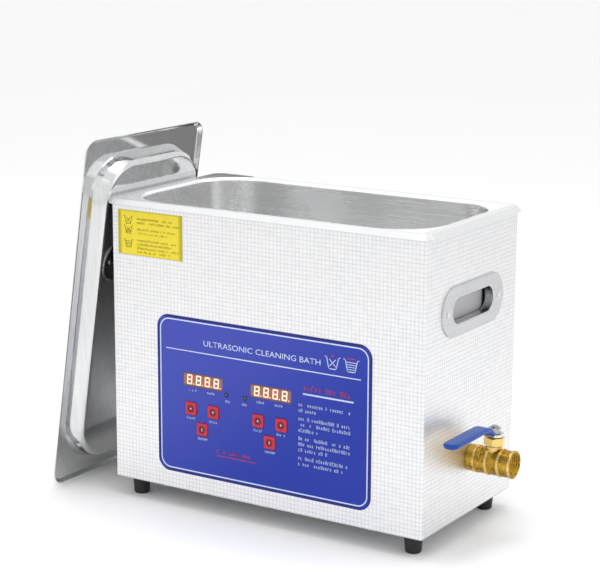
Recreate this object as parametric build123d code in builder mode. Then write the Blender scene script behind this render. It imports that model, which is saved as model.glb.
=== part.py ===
from build123d import *
from math import atan2, cos, degrees, radians, sin, sqrt, tan
import os

# Benchtop ultrasonic cleaner: a sheet-steel case around a deep-drawn tank, with three bolted
# transducers under the tank, a drain valve on the right, a key panel in front and a loose lid.
# Millimetres, +Z up, front towards -Y. The origin is the centre of the case's footprint, on the bench.

os.makedirs("parts", exist_ok=True)

# ---- Case ----------------------------------------------------------------------------------------
case_length = 318.0
case_depth = 165.0
overall_height = 276.0
foot_height = 18.0
sheet = 0.8
edge_radius = 1.6
return_flange = 14.0
bottom_flange = 22.0
fit_gap = 0.1
slot_length = 40.0
slot_width = 3.0
slot_pitch = 8.0
slot_rows = 7

# ---- Tank and its rim ----------------------------------------------------------------------------
tank_side_gap = 9.0
tank_front_gap = 5.0
plant_room_height = 108.0
tank_corner = 45.0
tank_floor_radius = 18.0
rim_edge_radius = 3.0
rim_proud = 2.2
rim_lip_run = 3.8
rim_lip_drop = 4.5
rim_corner = 10.0
seal_height = 1.6
seal_inset = 0.5
seal_bend_gap = 0.3

# ---- Screws --------------------------------------------------------------------------------------
screw_radius = 2.0
screw_length = 8.0
screw_head_radius = 3.8
screw_head_height = 2.4
screw_clearance = 0.25
rear_screw_pitch = 80.0

# ---- Feet ----------------------------------------------------------------------------------------
foot_top_radius = 8.5
foot_bottom_radius = 7.0
foot_inset = 16.5
foot_web = 4.0
foot_well_gap = 0.5
foot_edge_run = 1.6
foot_edge_rise = 2.2
foot_edge_middle = (0.5, 0.6)

# ---- Hand grips ----------------------------------------------------------------------------------
grip_drop = 73.0
grip_plate_length = 111.0
grip_plate_height = 44.0
grip_slot_length = 74.0
grip_slot_height = 21.5
grip_plate_thickness = 1.6
grip_collar_wall = 1.6
grip_collar_depth = 7.0
grip_edge_radius = 0.96
grip_mouth_radius = 1.2
rivet_radius = 1.6
rivet_head_radius = 2.6
rivet_head_height = 0.9
rivet_edge_radius = 0.72

# ---- Control panel, measured from the case's bottom and middle -----------------------------------
panel_width = 220.0
panel_height = 144.0
panel_rise = 15.4
panel_corner = 12.0
panel_thickness = 0.4
display_width = 41.4
display_height = 12.0
display_recess = 0.1
display_rise = 103.3
display_x = -61.0
group_pitch = 71.0
key_size = 11.6
key_corner = 1.8
key_gap = 0.4
key_proud = 1.0
key_travel = 0.8
key_flange = 1.0
key_stem_radius = 2.0
key_stem_length = 1.9
key_edge_radius = 0.6
key_pitch = 23.8
key_row_drop = 17.6
key_rise = 77.0
key_group_x = -61.8
lamp_radius = 1.5
lamp_rise = 95.2
lamp_offset = 25.0
lamp_edge_radius = 0.9
board_thickness = 1.6
board_margin = 10.0
board_bottom_rise = 47.0
board_clearance = 1.4
standoff_radius = 3.0
standoff_length = 8.1
switch_size = 6.0
plunger_radius = 1.5
plunger_height = 0.6

# ---- Instruction label ---------------------------------------------------------------------------
label_width = 70.0
label_height = 40.0
label_inset = 7.0
label_drop = 9.6
label_thickness = 0.2

# ---- Drain and its valve -------------------------------------------------------------------------
valve_rise = 49.8
valve_y = 3.0
drain_flange_radius = 14.0
drain_floor_gap = 1.0
drain_flange_thickness = 1.6
drain_shank_radius = 8.0
drain_bore = 5.5
spud_nut_radius = 12.5
spud_nut_height = 5.0
spud_tail = 12.0
elbow_gap = 1.0
nipple_proud = 8.0
elbow_radius = 11.5
locknut_radius = 13.0
locknut_thickness = 5.0
valve_length = 42.3
valve_ring_proud = 0.7
valve_ring_width = 2.2
valve_first_ring = 4.6
neck_ring_drop = 3.2
ball_radius = 8.6
ball_clearance = 0.2
seat_thickness = 2.6
seat_inner = 6.6
seat_chamfer = 0.5
cavity_gap = 0.9
cavity_radius = ball_radius + cavity_gap
valve_wall = 2.1
valve_radius = cavity_radius + valve_wall
outlet_radius = 9.3
outlet_length = 9.5
outlet_step = 1.5
stem_radius = 4.0
stem_running_gap = 0.05
stem_thread_radius = 3.0
stem_thread_proud = 1.6
stem_shoulder = 1.0
stem_chamfer = 0.5
tang_width = 3.0
tang_length = 6.4
tang_depth = 2.2
neck_radius = 6.4
neck_top = 15.2
packing_nut_height = 7.0
packing_nut_radius = 9.6
packing_nut_turn = 15.0
packing_nut_chamfer = 0.6
lever_thickness = 2.0
lever_width = 10.0
lever_sleeve_width = 14.8
lever_sleeve_thickness = 4.8
lever_reach = 82.0
lever_bend = 19.0
lever_rise = 10.6
lever_ring_radius = 8.0
lever_tip_cover = 2.5
sleeve_setback = 1.5
lever_nut_height = 5.2
lever_nut_radius = 5.6
lever_nut_turn = 10.0
lever_nut_chamfer = 0.5

# ---- Transducers and heating ---------------------------------------------------------------------
transducer_pitch = 80.0
transducer_middle_x = -20.0
front_mass_radius = 22.5
front_mass_neck = 19.0
front_mass_height = 25.0
piezo_radius = 19.0
piezo_bore = 7.0
piezo_height = 5.0
electrode_height = 0.4
tail_mass_height = 20.0
stack_bolt_radius = 4.0
stack_bolt_head = 7.5
stack_bolt_head_height = 7.0
stack_bolt_gap = 1.0
heater_margin = 10.0
heater_height = 60.0
heater_thickness = 1.4
thermostat_radius = 8.0
thermostat_height = 9.0
thermostat_gap = 2.0
terminal_width = 6.4
terminal_thickness = 1.0

# ---- Generator -----------------------------------------------------------------------------------
generator_width = 150.0
generator_depth = 90.0
transformer_size = 34.0
transformer_depth = 20.4
transformer_height = 24.0
winding_width = 23.8
winding_inset = 4.0
winding_corner = 3.0
heatsink_length = 70.0
heatsink_height = 22.0
heatsink_fins = 5
heatsink_fin = 1.6
heatsink_web = 3.0
heatsink_depth = 14.0
heatsink_edge_gap = 8.0
capacitor_radius = 6.5
capacitor_height = 20.0
capacitor_edge_radius = 1.0

# ---- Rear: mains inlet, switch and fan -----------------------------------------------------------
rear_rise = 44.0
inlet_x = 105.0
inlet_width = 27.0
inlet_height = 20.0
inlet_depth = 16.0
inlet_wall = 2.0
inlet_bezel = 3.0
inlet_ear = 6.0
inlet_bezel_thickness = 2.0
pin_width = 4.0
pin_thickness = 2.0
pin_length = 9.0
pin_pitch = 14.0
rocker_x = 58.0
rocker_width = 20.0
rocker_height = 26.0
rocker_wall = 1.6
rocker_gap = 0.5
rocker_depth = 14.0
rocker_tilt = 9.0
rocker_thickness = 5.0
rocker_bezel = 3.0
rocker_bezel_corner = 1.5
rocker_edge_radius = 0.8
rocker_pin_radius = 1.0
rocker_pin_reach = 1.2
fan_x = -85.0
fan_rise = 45.0
fan_size = 60.0
fan_depth = 15.0
fan_hole_radius = 28.0
fan_corner = 3.0
fan_hub_radius = 14.0
fan_hub_edge_radius = 1.0
fan_rotor_gap = 0.6
fan_blade_root = 0.5
fan_blade_gap = 1.0
fan_blades = 7
fan_blade_thickness = 1.2
fan_blade_pitch = 40.0
fan_screw_pitch = 50.0
fan_motor_depth = 3.0
fan_motor_radius = 13.0
fan_strut_width = 4.0
fan_shaft_radius = 1.5
fan_shaft_gap = 0.05
fan_shaft_setback = 0.5
guard_wire = 1.6
guard_rings = 4

# ---- Lid, leaning on the rim's left lip, its underside towards the case --------------------------
lid_over_rim = 0.6
lid_lip_drop = 3.0
lid_pan_clearance = 2.0
lid_pan_depth = 17.0
lid_pan_draft = 5.0
lid_pan_radius = 5.0
lid_lean = 8.56
lid_rest_gap = 0.4
lid_y = -11.0
handle_span = 96.0
handle_height = 34.0
handle_rod_radius = 4.0
handle_bend_radius = 12.0
handle_stud_radius = 2.4
handle_stud_proud = 1.0
handle_nut_radius = 6.5
handle_nut_height = 4.0

# ---- Places that follow from the sizes above -----------------------------------------------------
case_bottom = foot_height
right_face = case_length / 2
front_face = -case_depth / 2
rear_face = case_depth / 2
wrap_rear = rear_face - sheet
front_inside = front_face + sheet
side_inside = right_face - sheet
wrap_bottom = case_bottom + sheet
floor_top = wrap_bottom + sheet
case_top = overall_height - sheet - seal_height
tank_length = case_length - 2 * tank_side_gap
tank_width = case_depth - 2 * tank_front_gap
tank_floor = case_bottom + plant_room_height
tank_underside = tank_floor - sheet
tank_outer_corner = tank_corner + sheet
valve_z = case_bottom + valve_rise
grip_z = overall_height - grip_drop
rim_length = case_length + 2 * rim_proud
rim_width = case_depth + 2 * rim_proud
lip_angle = degrees(atan2(rim_lip_run, rim_lip_drop))
hole_radius = screw_radius + screw_clearance
feet_grid = (case_length - 2 * foot_inset, case_depth - 2 * foot_inset, 2, 2)
rear_screw_grid = (case_length - return_flange, rear_screw_pitch, 2, 3)
base_screw_grid = (case_length / 3, case_depth - return_flange, 3, 2)
fan_screw_grid = (fan_screw_pitch, fan_screw_pitch, 2, 2)
fan_z = case_bottom + fan_rise
rear_z = case_bottom + rear_rise
front_plane = Plane((0, front_face, 0), x_dir=(1, 0, 0), z_dir=(0, -1, 0))
rear_plane = Plane((0, rear_face, 0), x_dir=(-1, 0, 0), z_dir=(0, 1, 0))
right_plane = Plane((right_face, 0, 0), x_dir=(0, 1, 0), z_dir=(1, 0, 0))
left_plane = Plane((-right_face, 0, 0), x_dir=(0, -1, 0), z_dir=(-1, 0, 0))

display_z = case_bottom + display_rise
panel_z = case_bottom + panel_rise + panel_height / 2
display_places = [(display_x, display_z), (display_x + group_pitch, display_z)]
key_names = ["temp_up", "temp_down", "heat_power", "time_up", "time_down", "clean_power"]
key_places = []
for group in range(2):
    middle = key_group_x + group * group_pitch
    key_places.append((middle - key_pitch / 2, case_bottom + key_rise))
    key_places.append((middle + key_pitch / 2, case_bottom + key_rise))
    key_places.append((middle, case_bottom + key_rise - key_row_drop))
lamp_places = [
    (display_x + lamp_offset, case_bottom + lamp_rise),
    (display_x + group_pitch - lamp_offset - lamp_radius, case_bottom + lamp_rise),
]
board_front = front_inside + standoff_length
board_left = display_x - display_width / 2 - board_margin
board_right = display_x + group_pitch + display_width / 2 + board_margin
board_bottom = case_bottom + board_bottom_rise
board_top = display_z + display_height / 2 + board_clearance
board_middle = ((board_left + board_right) / 2, (board_bottom + board_top) / 2)
board_hole_span = (board_right - board_left - board_margin, board_top - board_bottom - board_margin)

# ---- Case wrap: front and two sides bent from one sheet, with turned-in edges ---------------------
with BuildPart() as case_wrap:
    wrap_middle = (front_face + wrap_rear) / 2
    with BuildSketch(Plane.XY.offset(wrap_bottom)):
        with Locations((0, wrap_middle)):
            Rectangle(case_length, wrap_rear - front_face)
    extrude(amount=case_top - wrap_bottom)
    front_corners = case_wrap.edges().filter_by(Axis.Z).group_by(Axis.Y)[0]
    fillet(front_corners, edge_radius)
    with BuildSketch(Plane.XY.offset(floor_top)):
        with Locations((0, wrap_middle)):
            Rectangle(case_length - 2 * sheet, wrap_rear - front_face - 2 * sheet)
    extrude(amount=case_top - floor_top - sheet, mode=Mode.SUBTRACT)
    with BuildSketch(Plane.XY.offset(wrap_bottom)):
        with Locations((0, wrap_middle)):
            Rectangle(case_length - 2 * bottom_flange, wrap_rear - front_face - 2 * bottom_flange)
    extrude(amount=sheet, mode=Mode.SUBTRACT)
    with BuildSketch(Plane.XY.offset(case_top - sheet)):
        RectangleRounded(tank_length + 4 * sheet, tank_width + 4 * sheet, tank_outer_corner + sheet)
    extrude(amount=sheet, mode=Mode.SUBTRACT)
    # the open back, inside the return flanges
    with BuildSketch(rear_plane.offset(-sheet)):
        with Locations((0, (wrap_bottom + case_top) / 2)):
            Rectangle(case_length - 2 * return_flange, case_top - wrap_bottom - 2 * return_flange)
    extrude(amount=-sheet, mode=Mode.SUBTRACT)
    # display windows, lamp holes and key holes in the front
    with BuildSketch(front_plane):
        with Locations(*display_places):
            Rectangle(display_width + 2 * fit_gap, display_height + 2 * fit_gap)
        with Locations(*lamp_places):
            Circle(lamp_radius + fit_gap)
        with Locations(*key_places):
            RectangleRounded(key_size + 2 * key_gap, key_size + 2 * key_gap, key_corner + key_gap)
    extrude(amount=-sheet, mode=Mode.SUBTRACT)
    # grip slots with their rivet holes in both sides
    grip_hole_height = grip_slot_height + 2 * grip_collar_wall + 2 * fit_gap
    grip_hole_length = grip_slot_length + 2 * grip_collar_wall + 2 * fit_gap
    rivet_pitch = (grip_plate_length + grip_slot_length) / 2
    with BuildSketch(Plane.YZ.offset(-right_face)):
        with Locations((0, grip_z)):
            SlotOverall(grip_hole_length, grip_hole_height)
            with Locations((-rivet_pitch / 2, 0), (rivet_pitch / 2, 0)):
                Circle(rivet_radius + fit_gap)
    extrude(amount=case_length, mode=Mode.SUBTRACT)
    # the drain passes through the right side
    with BuildSketch(right_plane):
        with Locations((valve_y, valve_z)):
            Circle(drain_shank_radius + fit_gap)
    extrude(amount=-sheet, mode=Mode.SUBTRACT)
    # rear and underside screw holes
    with BuildSketch(rear_plane.offset(-sheet)):
        with Locations((0, (wrap_bottom + case_top) / 2)):
            with GridLocations(*rear_screw_grid):
                Circle(hole_radius)
    extrude(amount=-sheet, mode=Mode.SUBTRACT)
    with BuildSketch(Plane.XY.offset(wrap_bottom)):
        with GridLocations(*base_screw_grid):
            Circle(hole_radius)
    extrude(amount=sheet, mode=Mode.SUBTRACT)
    with BuildSketch(Plane.XY.offset(wrap_bottom)):
        with GridLocations(*feet_grid):
            Circle(hole_radius)
    extrude(amount=sheet, mode=Mode.SUBTRACT)
case_wrap.part.label = "case_wrap"
export_step(case_wrap.part, "parts/case_wrap.step")

# ---- Rear panel ----------------------------------------------------------------------------------
with BuildPart() as rear_panel:
    with BuildSketch(rear_plane):
        with Locations((0, (wrap_bottom + case_top) / 2)):
            Rectangle(case_length, case_top - wrap_bottom)
            with GridLocations(*rear_screw_grid):
                Circle(hole_radius, mode=Mode.SUBTRACT)
        with Locations((-fan_x, fan_z)):
            Circle(fan_hole_radius, mode=Mode.SUBTRACT)
            with GridLocations(*fan_screw_grid):
                Circle(hole_radius, mode=Mode.SUBTRACT)
        with Locations((-inlet_x, rear_z)):
            Rectangle(inlet_width + 2 * fit_gap, inlet_height + 2 * fit_gap, mode=Mode.SUBTRACT)
        with Locations((-rocker_x, rear_z)):
            Rectangle(rocker_width + 2 * fit_gap, rocker_height + 2 * fit_gap, mode=Mode.SUBTRACT)
    extrude(amount=-sheet)
rear_panel.part.label = "rear_panel"
export_step(rear_panel.part, "parts/rear_panel.step")

# ---- Base plate, with a row of cooling slots -----------------------------------------------------
with BuildPart() as base_plate:
    with BuildSketch(Plane.XY.offset(case_bottom)):
        Rectangle(case_length, case_depth)
        with GridLocations(*base_screw_grid):
            Circle(hole_radius, mode=Mode.SUBTRACT)
        with GridLocations(*feet_grid):
            Circle(hole_radius, mode=Mode.SUBTRACT)
        with GridLocations(2 * slot_length, slot_pitch, 2, slot_rows):
            SlotOverall(slot_length, slot_width, mode=Mode.SUBTRACT)
    extrude(amount=sheet)
    fillet(base_plate.edges().filter_by(Axis.Z).group_by(Axis.Y)[0], edge_radius)
base_plate.part.label = "base_plate"
export_step(base_plate.part, "parts/base_plate.step")

# ---- Feet: tapered rubber, each with a counterbore for its screw ---------------------------------
with BuildPart() as feet:
    with BuildSketch(Plane.XZ):
        with BuildLine():
            well_radius = screw_head_radius + foot_well_gap
            Polyline(
                (hole_radius, foot_height),
                (foot_top_radius, foot_height),
                (foot_bottom_radius, foot_edge_rise),
            )
            ThreePointArc(
                (foot_bottom_radius, foot_edge_rise),
                (foot_bottom_radius - foot_edge_middle[0], foot_edge_middle[1]),
                (foot_bottom_radius - foot_edge_run, 0),
            )
            Polyline(
                (foot_bottom_radius - foot_edge_run, 0),
                (well_radius, 0),
                (well_radius, foot_height - foot_web),
                (hole_radius, foot_height - foot_web),
                (hole_radius, foot_height),
            )
        make_face()
    foot = revolve(axis=Axis.Z, mode=Mode.PRIVATE)
    with GridLocations(*feet_grid):
        add(foot)
feet.part.label = "feet"
export_step(feet.part, "parts/feet.step")

# ---- Screws: one pan-head screw, used under the base, under the feet and on the rear -------------
with BuildPart() as pan_screw:
    with BuildSketch(Plane.XY):
        Circle(screw_head_radius)
    extrude(amount=screw_head_height)
    fillet(pan_screw.edges().group_by(Axis.Z)[-1], screw_head_height / 2)
    with BuildSketch(Plane.XY.offset(screw_head_height)):
        Rectangle(2 * screw_radius, screw_radius / 2)
        Rectangle(screw_radius / 2, 2 * screw_radius)
    extrude(amount=-screw_head_height / 2, mode=Mode.SUBTRACT)
    with BuildSketch(Plane.XY):
        Circle(screw_radius)
    extrude(amount=-screw_length)

with BuildPart() as underside_screws:
    with Locations(Plane((0, 0, case_bottom), x_dir=(1, 0, 0), z_dir=(0, 0, -1))):
        with GridLocations(*base_screw_grid):
            add(pan_screw.part)
    with Locations(Plane((0, 0, case_bottom - foot_web), x_dir=(1, 0, 0), z_dir=(0, 0, -1))):
        with GridLocations(*feet_grid):
            add(pan_screw.part)
underside_screws.part.label = "underside_screws"
export_step(underside_screws.part, "parts/underside_screws.step")

with BuildPart() as rear_screws:
    with Locations(rear_plane):
        with Locations((0, (wrap_bottom + case_top) / 2)):
            with GridLocations(*rear_screw_grid):
                add(pan_screw.part)
    with Locations(rear_plane.offset(guard_wire)):
        with Locations((-fan_x, fan_z)):
            with GridLocations(*fan_screw_grid):
                add(pan_screw.part)
rear_screws.part.label = "rear_screws"
export_step(rear_screws.part, "parts/rear_screws.step")

# ---- Tank: one deep drawing with a flat rim and a lip that slants down over the case -------------
tank_half_length = tank_length / 2
tank_half_width = tank_width / 2
drain_x = tank_half_length - tank_floor_radius - drain_flange_radius - drain_floor_gap
lip_spread = sheet * tan(radians(lip_angle)) - sheet / cos(radians(lip_angle))
with BuildPart() as rim:
    with BuildSketch(Plane.XY.offset(overall_height)):
        RectangleRounded(rim_length, rim_width, rim_corner)
    extrude(amount=-rim_lip_drop, taper=-lip_angle)
    with BuildSketch(Plane.XY.offset(overall_height - sheet)):
        RectangleRounded(rim_length + 2 * lip_spread, rim_width + 2 * lip_spread, rim_corner)
    extrude(amount=sheet - rim_lip_drop - fit_gap, taper=-lip_angle, mode=Mode.SUBTRACT)

with BuildPart() as tank_hollow:
    with BuildSketch(Plane.XY.offset(tank_floor)):
        RectangleRounded(tank_length, tank_width, tank_corner)
    extrude(amount=overall_height - tank_floor)
    fillet(tank_hollow.edges().group_by(Axis.Z)[0], tank_floor_radius)


def inside_tank_outline(edge: Edge) -> bool:
    """Whether an edge belongs to the tank's wall rather than to its rim."""
    middle = edge.center()
    reach = sheet + fit_gap
    return abs(middle.X) < tank_half_length + reach and abs(middle.Y) < tank_half_width + reach


with BuildPart() as tank:
    with BuildSketch(Plane.XY.offset(tank_underside)):
        RectangleRounded(tank_length + 2 * sheet, tank_width + 2 * sheet, tank_outer_corner)
    extrude(amount=overall_height - sheet - tank_underside)
    fillet(tank.edges().group_by(Axis.Z)[0], tank_floor_radius + sheet)
    add(rim.part)
    under_rim = tank.edges().filter_by_position(
        Axis.Z, overall_height - sheet - fit_gap, overall_height - sheet + fit_gap
    )
    fillet(under_rim.filter_by(inside_tank_outline), rim_edge_radius - sheet)
    add(tank_hollow.part, mode=Mode.SUBTRACT)
    rolled_edge = tank.edges().group_by(Axis.Z)[-1].filter_by(inside_tank_outline)
    fillet(rolled_edge, rim_edge_radius)
    with BuildSketch(Plane.XY.offset(tank_underside)):
        with Locations((drain_x, valve_y)):
            Circle(drain_shank_radius + fit_gap)
    extrude(amount=sheet, mode=Mode.SUBTRACT)
tank.part.label = "tank"
export_step(tank.part, "parts/tank.step")

# ---- Rim seal, between the case's turned-in top edge and the rim ---------------------------------
with BuildPart() as tank_rim_seal:
    seal_clear = rim_edge_radius + seal_bend_gap
    with BuildSketch(Plane.XY.offset(case_top)):
        RectangleRounded(case_length - 2 * seal_inset, case_depth - 2 * seal_inset, rim_corner)
        RectangleRounded(
            tank_length + 2 * seal_clear,
            tank_width + 2 * seal_clear,
            tank_corner + seal_clear,
            mode=Mode.SUBTRACT,
        )
    extrude(amount=seal_height)
tank_rim_seal.part.label = "tank_rim_seal"
export_step(tank_rim_seal.part, "parts/tank_rim_seal.step")

# ---- Hand grips: pressed plates with a collar rolled in through the case -------------------------
for side, plane in (("left", left_plane), ("right", right_plane)):
    with BuildPart() as hand_grip:
        with BuildSketch(plane):
            with Locations((0, grip_z)):
                SlotOverall(grip_plate_length, grip_plate_height)
        extrude(amount=grip_plate_thickness)
        outer_edges = hand_grip.faces().sort_by(Axis(plane.origin, plane.z_dir))[-1].edges()
        fillet(outer_edges, grip_edge_radius)
        with BuildSketch(plane):
            with Locations((0, grip_z)):
                SlotOverall(grip_slot_length + 2 * grip_collar_wall, grip_slot_height + 2 * grip_collar_wall)
        extrude(amount=-grip_collar_depth)
        with BuildSketch(plane.offset(grip_plate_thickness)):
            with Locations((0, grip_z)):
                SlotOverall(grip_slot_length, grip_slot_height)
        extrude(amount=-grip_plate_thickness - grip_collar_depth, mode=Mode.SUBTRACT)
        face_edges = hand_grip.faces().sort_by(Axis(plane.origin, plane.z_dir))[-1].inner_wires()[0].edges()
        fillet(face_edges, grip_mouth_radius)
        with BuildSketch(plane):
            with Locations((-rivet_pitch / 2, grip_z), (rivet_pitch / 2, grip_z)):
                Circle(rivet_radius)
        extrude(amount=grip_plate_thickness, mode=Mode.SUBTRACT)
    hand_grip.part.label = f"hand_grip_{side}"
    export_step(hand_grip.part, f"parts/hand_grip_{side}.step")

with BuildPart() as rivet:
    with BuildSketch(Plane.XY.offset(grip_plate_thickness)):
        Circle(rivet_head_radius)
    extrude(amount=rivet_head_height)
    fillet(rivet.edges().group_by(Axis.Z)[-1], rivet_edge_radius)
    with BuildSketch(Plane.XY.offset(grip_plate_thickness)):
        Circle(rivet_radius)
    extrude(amount=-grip_plate_thickness - sheet)
    with BuildSketch(Plane.XY.offset(-sheet)):
        Circle(rivet_head_radius)
    extrude(amount=-rivet_head_height)

with BuildPart() as grip_rivets:
    with Locations(left_plane, right_plane):
        with Locations((-rivet_pitch / 2, grip_z), (rivet_pitch / 2, grip_z)):
            add(rivet.part)
grip_rivets.part.label = "grip_rivets"
export_step(grip_rivets.part, "parts/grip_rivets.step")

# ---- Instruction label ---------------------------------------------------------------------------
with BuildPart() as instruction_label:
    with BuildSketch(front_plane):
        label_x = -right_face + label_inset + label_width / 2
        with Locations((label_x, overall_height - label_drop - label_height / 2)):
            Rectangle(label_width, label_height)
    extrude(amount=label_thickness)
instruction_label.part.label = "instruction_label"
export_step(instruction_label.part, "parts/instruction_label.step")

# ---- Drain line under the tank -------------------------------------------------------------------
spud_bottom = tank_underside - spud_nut_height - spud_tail
elbow_top = tank_underside - spud_nut_height - elbow_gap
elbow_reach = drain_x + 2 * elbow_radius
nipple_start = drain_x + elbow_radius
nipple_end = right_face + nipple_proud
drain_plane = Plane.YZ.offset(drain_x)
with BuildPart() as drain_spud:
    with BuildSketch(Plane.XY.offset(tank_floor)):
        with Locations((drain_x, valve_y)):
            Circle(drain_flange_radius)
    extrude(amount=drain_flange_thickness)
    fillet(drain_spud.edges().group_by(Axis.Z)[-1], drain_flange_thickness / 2)
    with BuildSketch(Plane.XY.offset(tank_floor)):
        with Locations((drain_x, valve_y)):
            Circle(drain_shank_radius)
    extrude(amount=spud_bottom - tank_floor)
    with BuildSketch(Plane.XY.offset(spud_bottom)):
        with Locations((drain_x, valve_y)):
            Circle(drain_bore)
    extrude(amount=tank_floor + drain_flange_thickness - spud_bottom, mode=Mode.SUBTRACT)
drain_spud.part.label = "drain_spud"
export_step(drain_spud.part, "parts/drain_spud.step")

with BuildPart() as drain_spud_nut:
    with BuildSketch(Plane.XY.offset(tank_underside - spud_nut_height)):
        with Locations((drain_x, valve_y)):
            RegularPolygon(spud_nut_radius, 6)
            Circle(drain_shank_radius, mode=Mode.SUBTRACT)
    extrude(amount=spud_nut_height)
drain_spud_nut.part.label = "drain_spud_nut"
export_step(drain_spud_nut.part, "parts/drain_spud_nut.step")

with BuildPart() as drain_elbow:
    with BuildSketch(Plane.XY.offset(valve_z)):
        with Locations((drain_x, valve_y)):
            Circle(elbow_radius)
    extrude(amount=elbow_top - valve_z)
    with BuildSketch(drain_plane):
        with Locations((valve_y, valve_z)):
            Circle(elbow_radius)
    extrude(amount=elbow_reach - drain_x)
    with Locations((drain_x, valve_y, valve_z)):
        Sphere(elbow_radius)
    with BuildSketch(Plane.XY.offset(valve_z)):
        with Locations((drain_x, valve_y)):
            Circle(drain_bore)
    extrude(amount=elbow_top - valve_z, mode=Mode.SUBTRACT)
    with BuildSketch(Plane.XY.offset(spud_bottom)):
        with Locations((drain_x, valve_y)):
            Circle(drain_shank_radius)
    extrude(amount=elbow_top - spud_bottom, mode=Mode.SUBTRACT)
    with BuildSketch(drain_plane):
        with Locations((valve_y, valve_z)):
            Circle(drain_bore)
    extrude(amount=elbow_reach - drain_x, mode=Mode.SUBTRACT)
    with BuildSketch(Plane.YZ.offset(nipple_start)):
        with Locations((valve_y, valve_z)):
            Circle(drain_shank_radius)
    extrude(amount=elbow_reach - nipple_start, mode=Mode.SUBTRACT)
    with Locations((drain_x, valve_y, valve_z)):
        Sphere(drain_bore, mode=Mode.SUBTRACT)
drain_elbow.part.label = "drain_elbow"
export_step(drain_elbow.part, "parts/drain_elbow.step")

with BuildPart() as drain_nipple:
    with BuildSketch(Plane.YZ.offset(nipple_start)):
        with Locations((valve_y, valve_z)):
            Circle(drain_shank_radius)
            Circle(drain_bore, mode=Mode.SUBTRACT)
    extrude(amount=nipple_end - nipple_start)
drain_nipple.part.label = "drain_nipple"
export_step(drain_nipple.part, "parts/drain_nipple.step")

with BuildPart() as drain_locknut:
    with BuildSketch(Plane.YZ.offset(side_inside)):
        with Locations((valve_y, valve_z)):
            RegularPolygon(locknut_radius, 6)
            Circle(drain_shank_radius, mode=Mode.SUBTRACT)
    extrude(amount=-locknut_thickness)
drain_locknut.part.label = "drain_locknut"
export_step(drain_locknut.part, "parts/drain_locknut.step")

# ---- Drain valve: a brass quarter-turn ball valve, its stem upwards ------------------------------
valve_start = right_face
valve_end = valve_start + valve_length
cavity_half = ball_radius + ball_clearance
ball_x = valve_end - outlet_length - outlet_step - cavity_half
body_start = ball_x - cavity_half
stem_top = valve_z + neck_top + packing_nut_height + stem_shoulder
ball_centre = (ball_x, valve_y, valve_z)
with BuildPart() as valve_body:
    with BuildSketch(Plane.YZ.offset(body_start)):
        with Locations((valve_y, valve_z)):
            Circle(valve_radius)
    extrude(amount=valve_end - body_start)
    for ring_end in (body_start + valve_first_ring + valve_ring_width, ball_x + cavity_half, valve_end):
        with BuildSketch(Plane.YZ.offset(ring_end)):
            with Locations((valve_y, valve_z)):
                Circle(valve_radius + valve_ring_proud)
        extrude(amount=-valve_ring_width)
    with BuildSketch(Plane.XY.offset(valve_z)):
        with Locations((ball_x, valve_y)):
            Circle(neck_radius)
    extrude(amount=neck_top)
    with BuildSketch(Plane.XY.offset(valve_z + neck_top - neck_ring_drop)):
        with Locations((ball_x, valve_y)):
            Circle(neck_radius + valve_ring_proud)
    extrude(amount=valve_ring_width)
    with BuildSketch(Plane.YZ.offset(body_start)):
        with Locations((valve_y, valve_z)):
            Circle(cavity_radius)
    extrude(amount=2 * cavity_half, mode=Mode.SUBTRACT)
    with BuildSketch(Plane.YZ.offset(body_start)):
        with Locations((valve_y, valve_z)):
            Circle(drain_bore)
    extrude(amount=valve_end - body_start, mode=Mode.SUBTRACT)
    with BuildSketch(Plane.YZ.offset(valve_end)):
        with Locations((valve_y, valve_z)):
            Circle(outlet_radius)
    extrude(amount=-outlet_length, mode=Mode.SUBTRACT)
    with BuildSketch(Plane.XY.offset(valve_z)):
        with Locations((ball_x, valve_y)):
            Circle(stem_radius + stem_running_gap)
    extrude(amount=neck_top, mode=Mode.SUBTRACT)
valve_body.part.label = "valve_body"
export_step(valve_body.part, "parts/valve_body.step")

with BuildPart() as valve_tailpiece:
    with BuildSketch(Plane.YZ.offset(valve_start)):
        with Locations((valve_y, valve_z)):
            Circle(valve_radius)
    extrude(amount=body_start - valve_start)
    with BuildSketch(Plane.YZ.offset(body_start - 2 * valve_ring_width)):
        with Locations((valve_y, valve_z)):
            RegularPolygon(valve_radius + 2 * valve_ring_proud, 8)
    extrude(amount=-valve_ring_width)
    with BuildSketch(Plane.YZ.offset(valve_start)):
        with Locations((valve_y, valve_z)):
            Circle(drain_bore)
    extrude(amount=body_start - valve_start, mode=Mode.SUBTRACT)
    with BuildSketch(Plane.YZ.offset(valve_start)):
        with Locations((valve_y, valve_z)):
            Circle(drain_shank_radius)
    extrude(amount=nipple_end - valve_start, mode=Mode.SUBTRACT)
valve_tailpiece.part.label = "valve_tailpiece"
export_step(valve_tailpiece.part, "parts/valve_tailpiece.step")

with BuildPart() as valve_seats:
    for seat_start in (body_start, ball_x + cavity_half - seat_thickness):
        with BuildSketch(Plane.YZ.offset(seat_start)):
            with Locations((valve_y, valve_z)):
                Circle(cavity_radius)
                Circle(seat_inner, mode=Mode.SUBTRACT)
        extrude(amount=seat_thickness)
    near_ball = valve_seats.edges().filter_by(GeomType.CIRCLE).sort_by(
        lambda edge: abs(edge.center().X - ball_x) + edge.radius
    )
    chamfer(near_ball[:2], seat_chamfer)
valve_seats.part.label = "valve_seats"
export_step(valve_seats.part, "parts/valve_seats.step")

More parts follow.
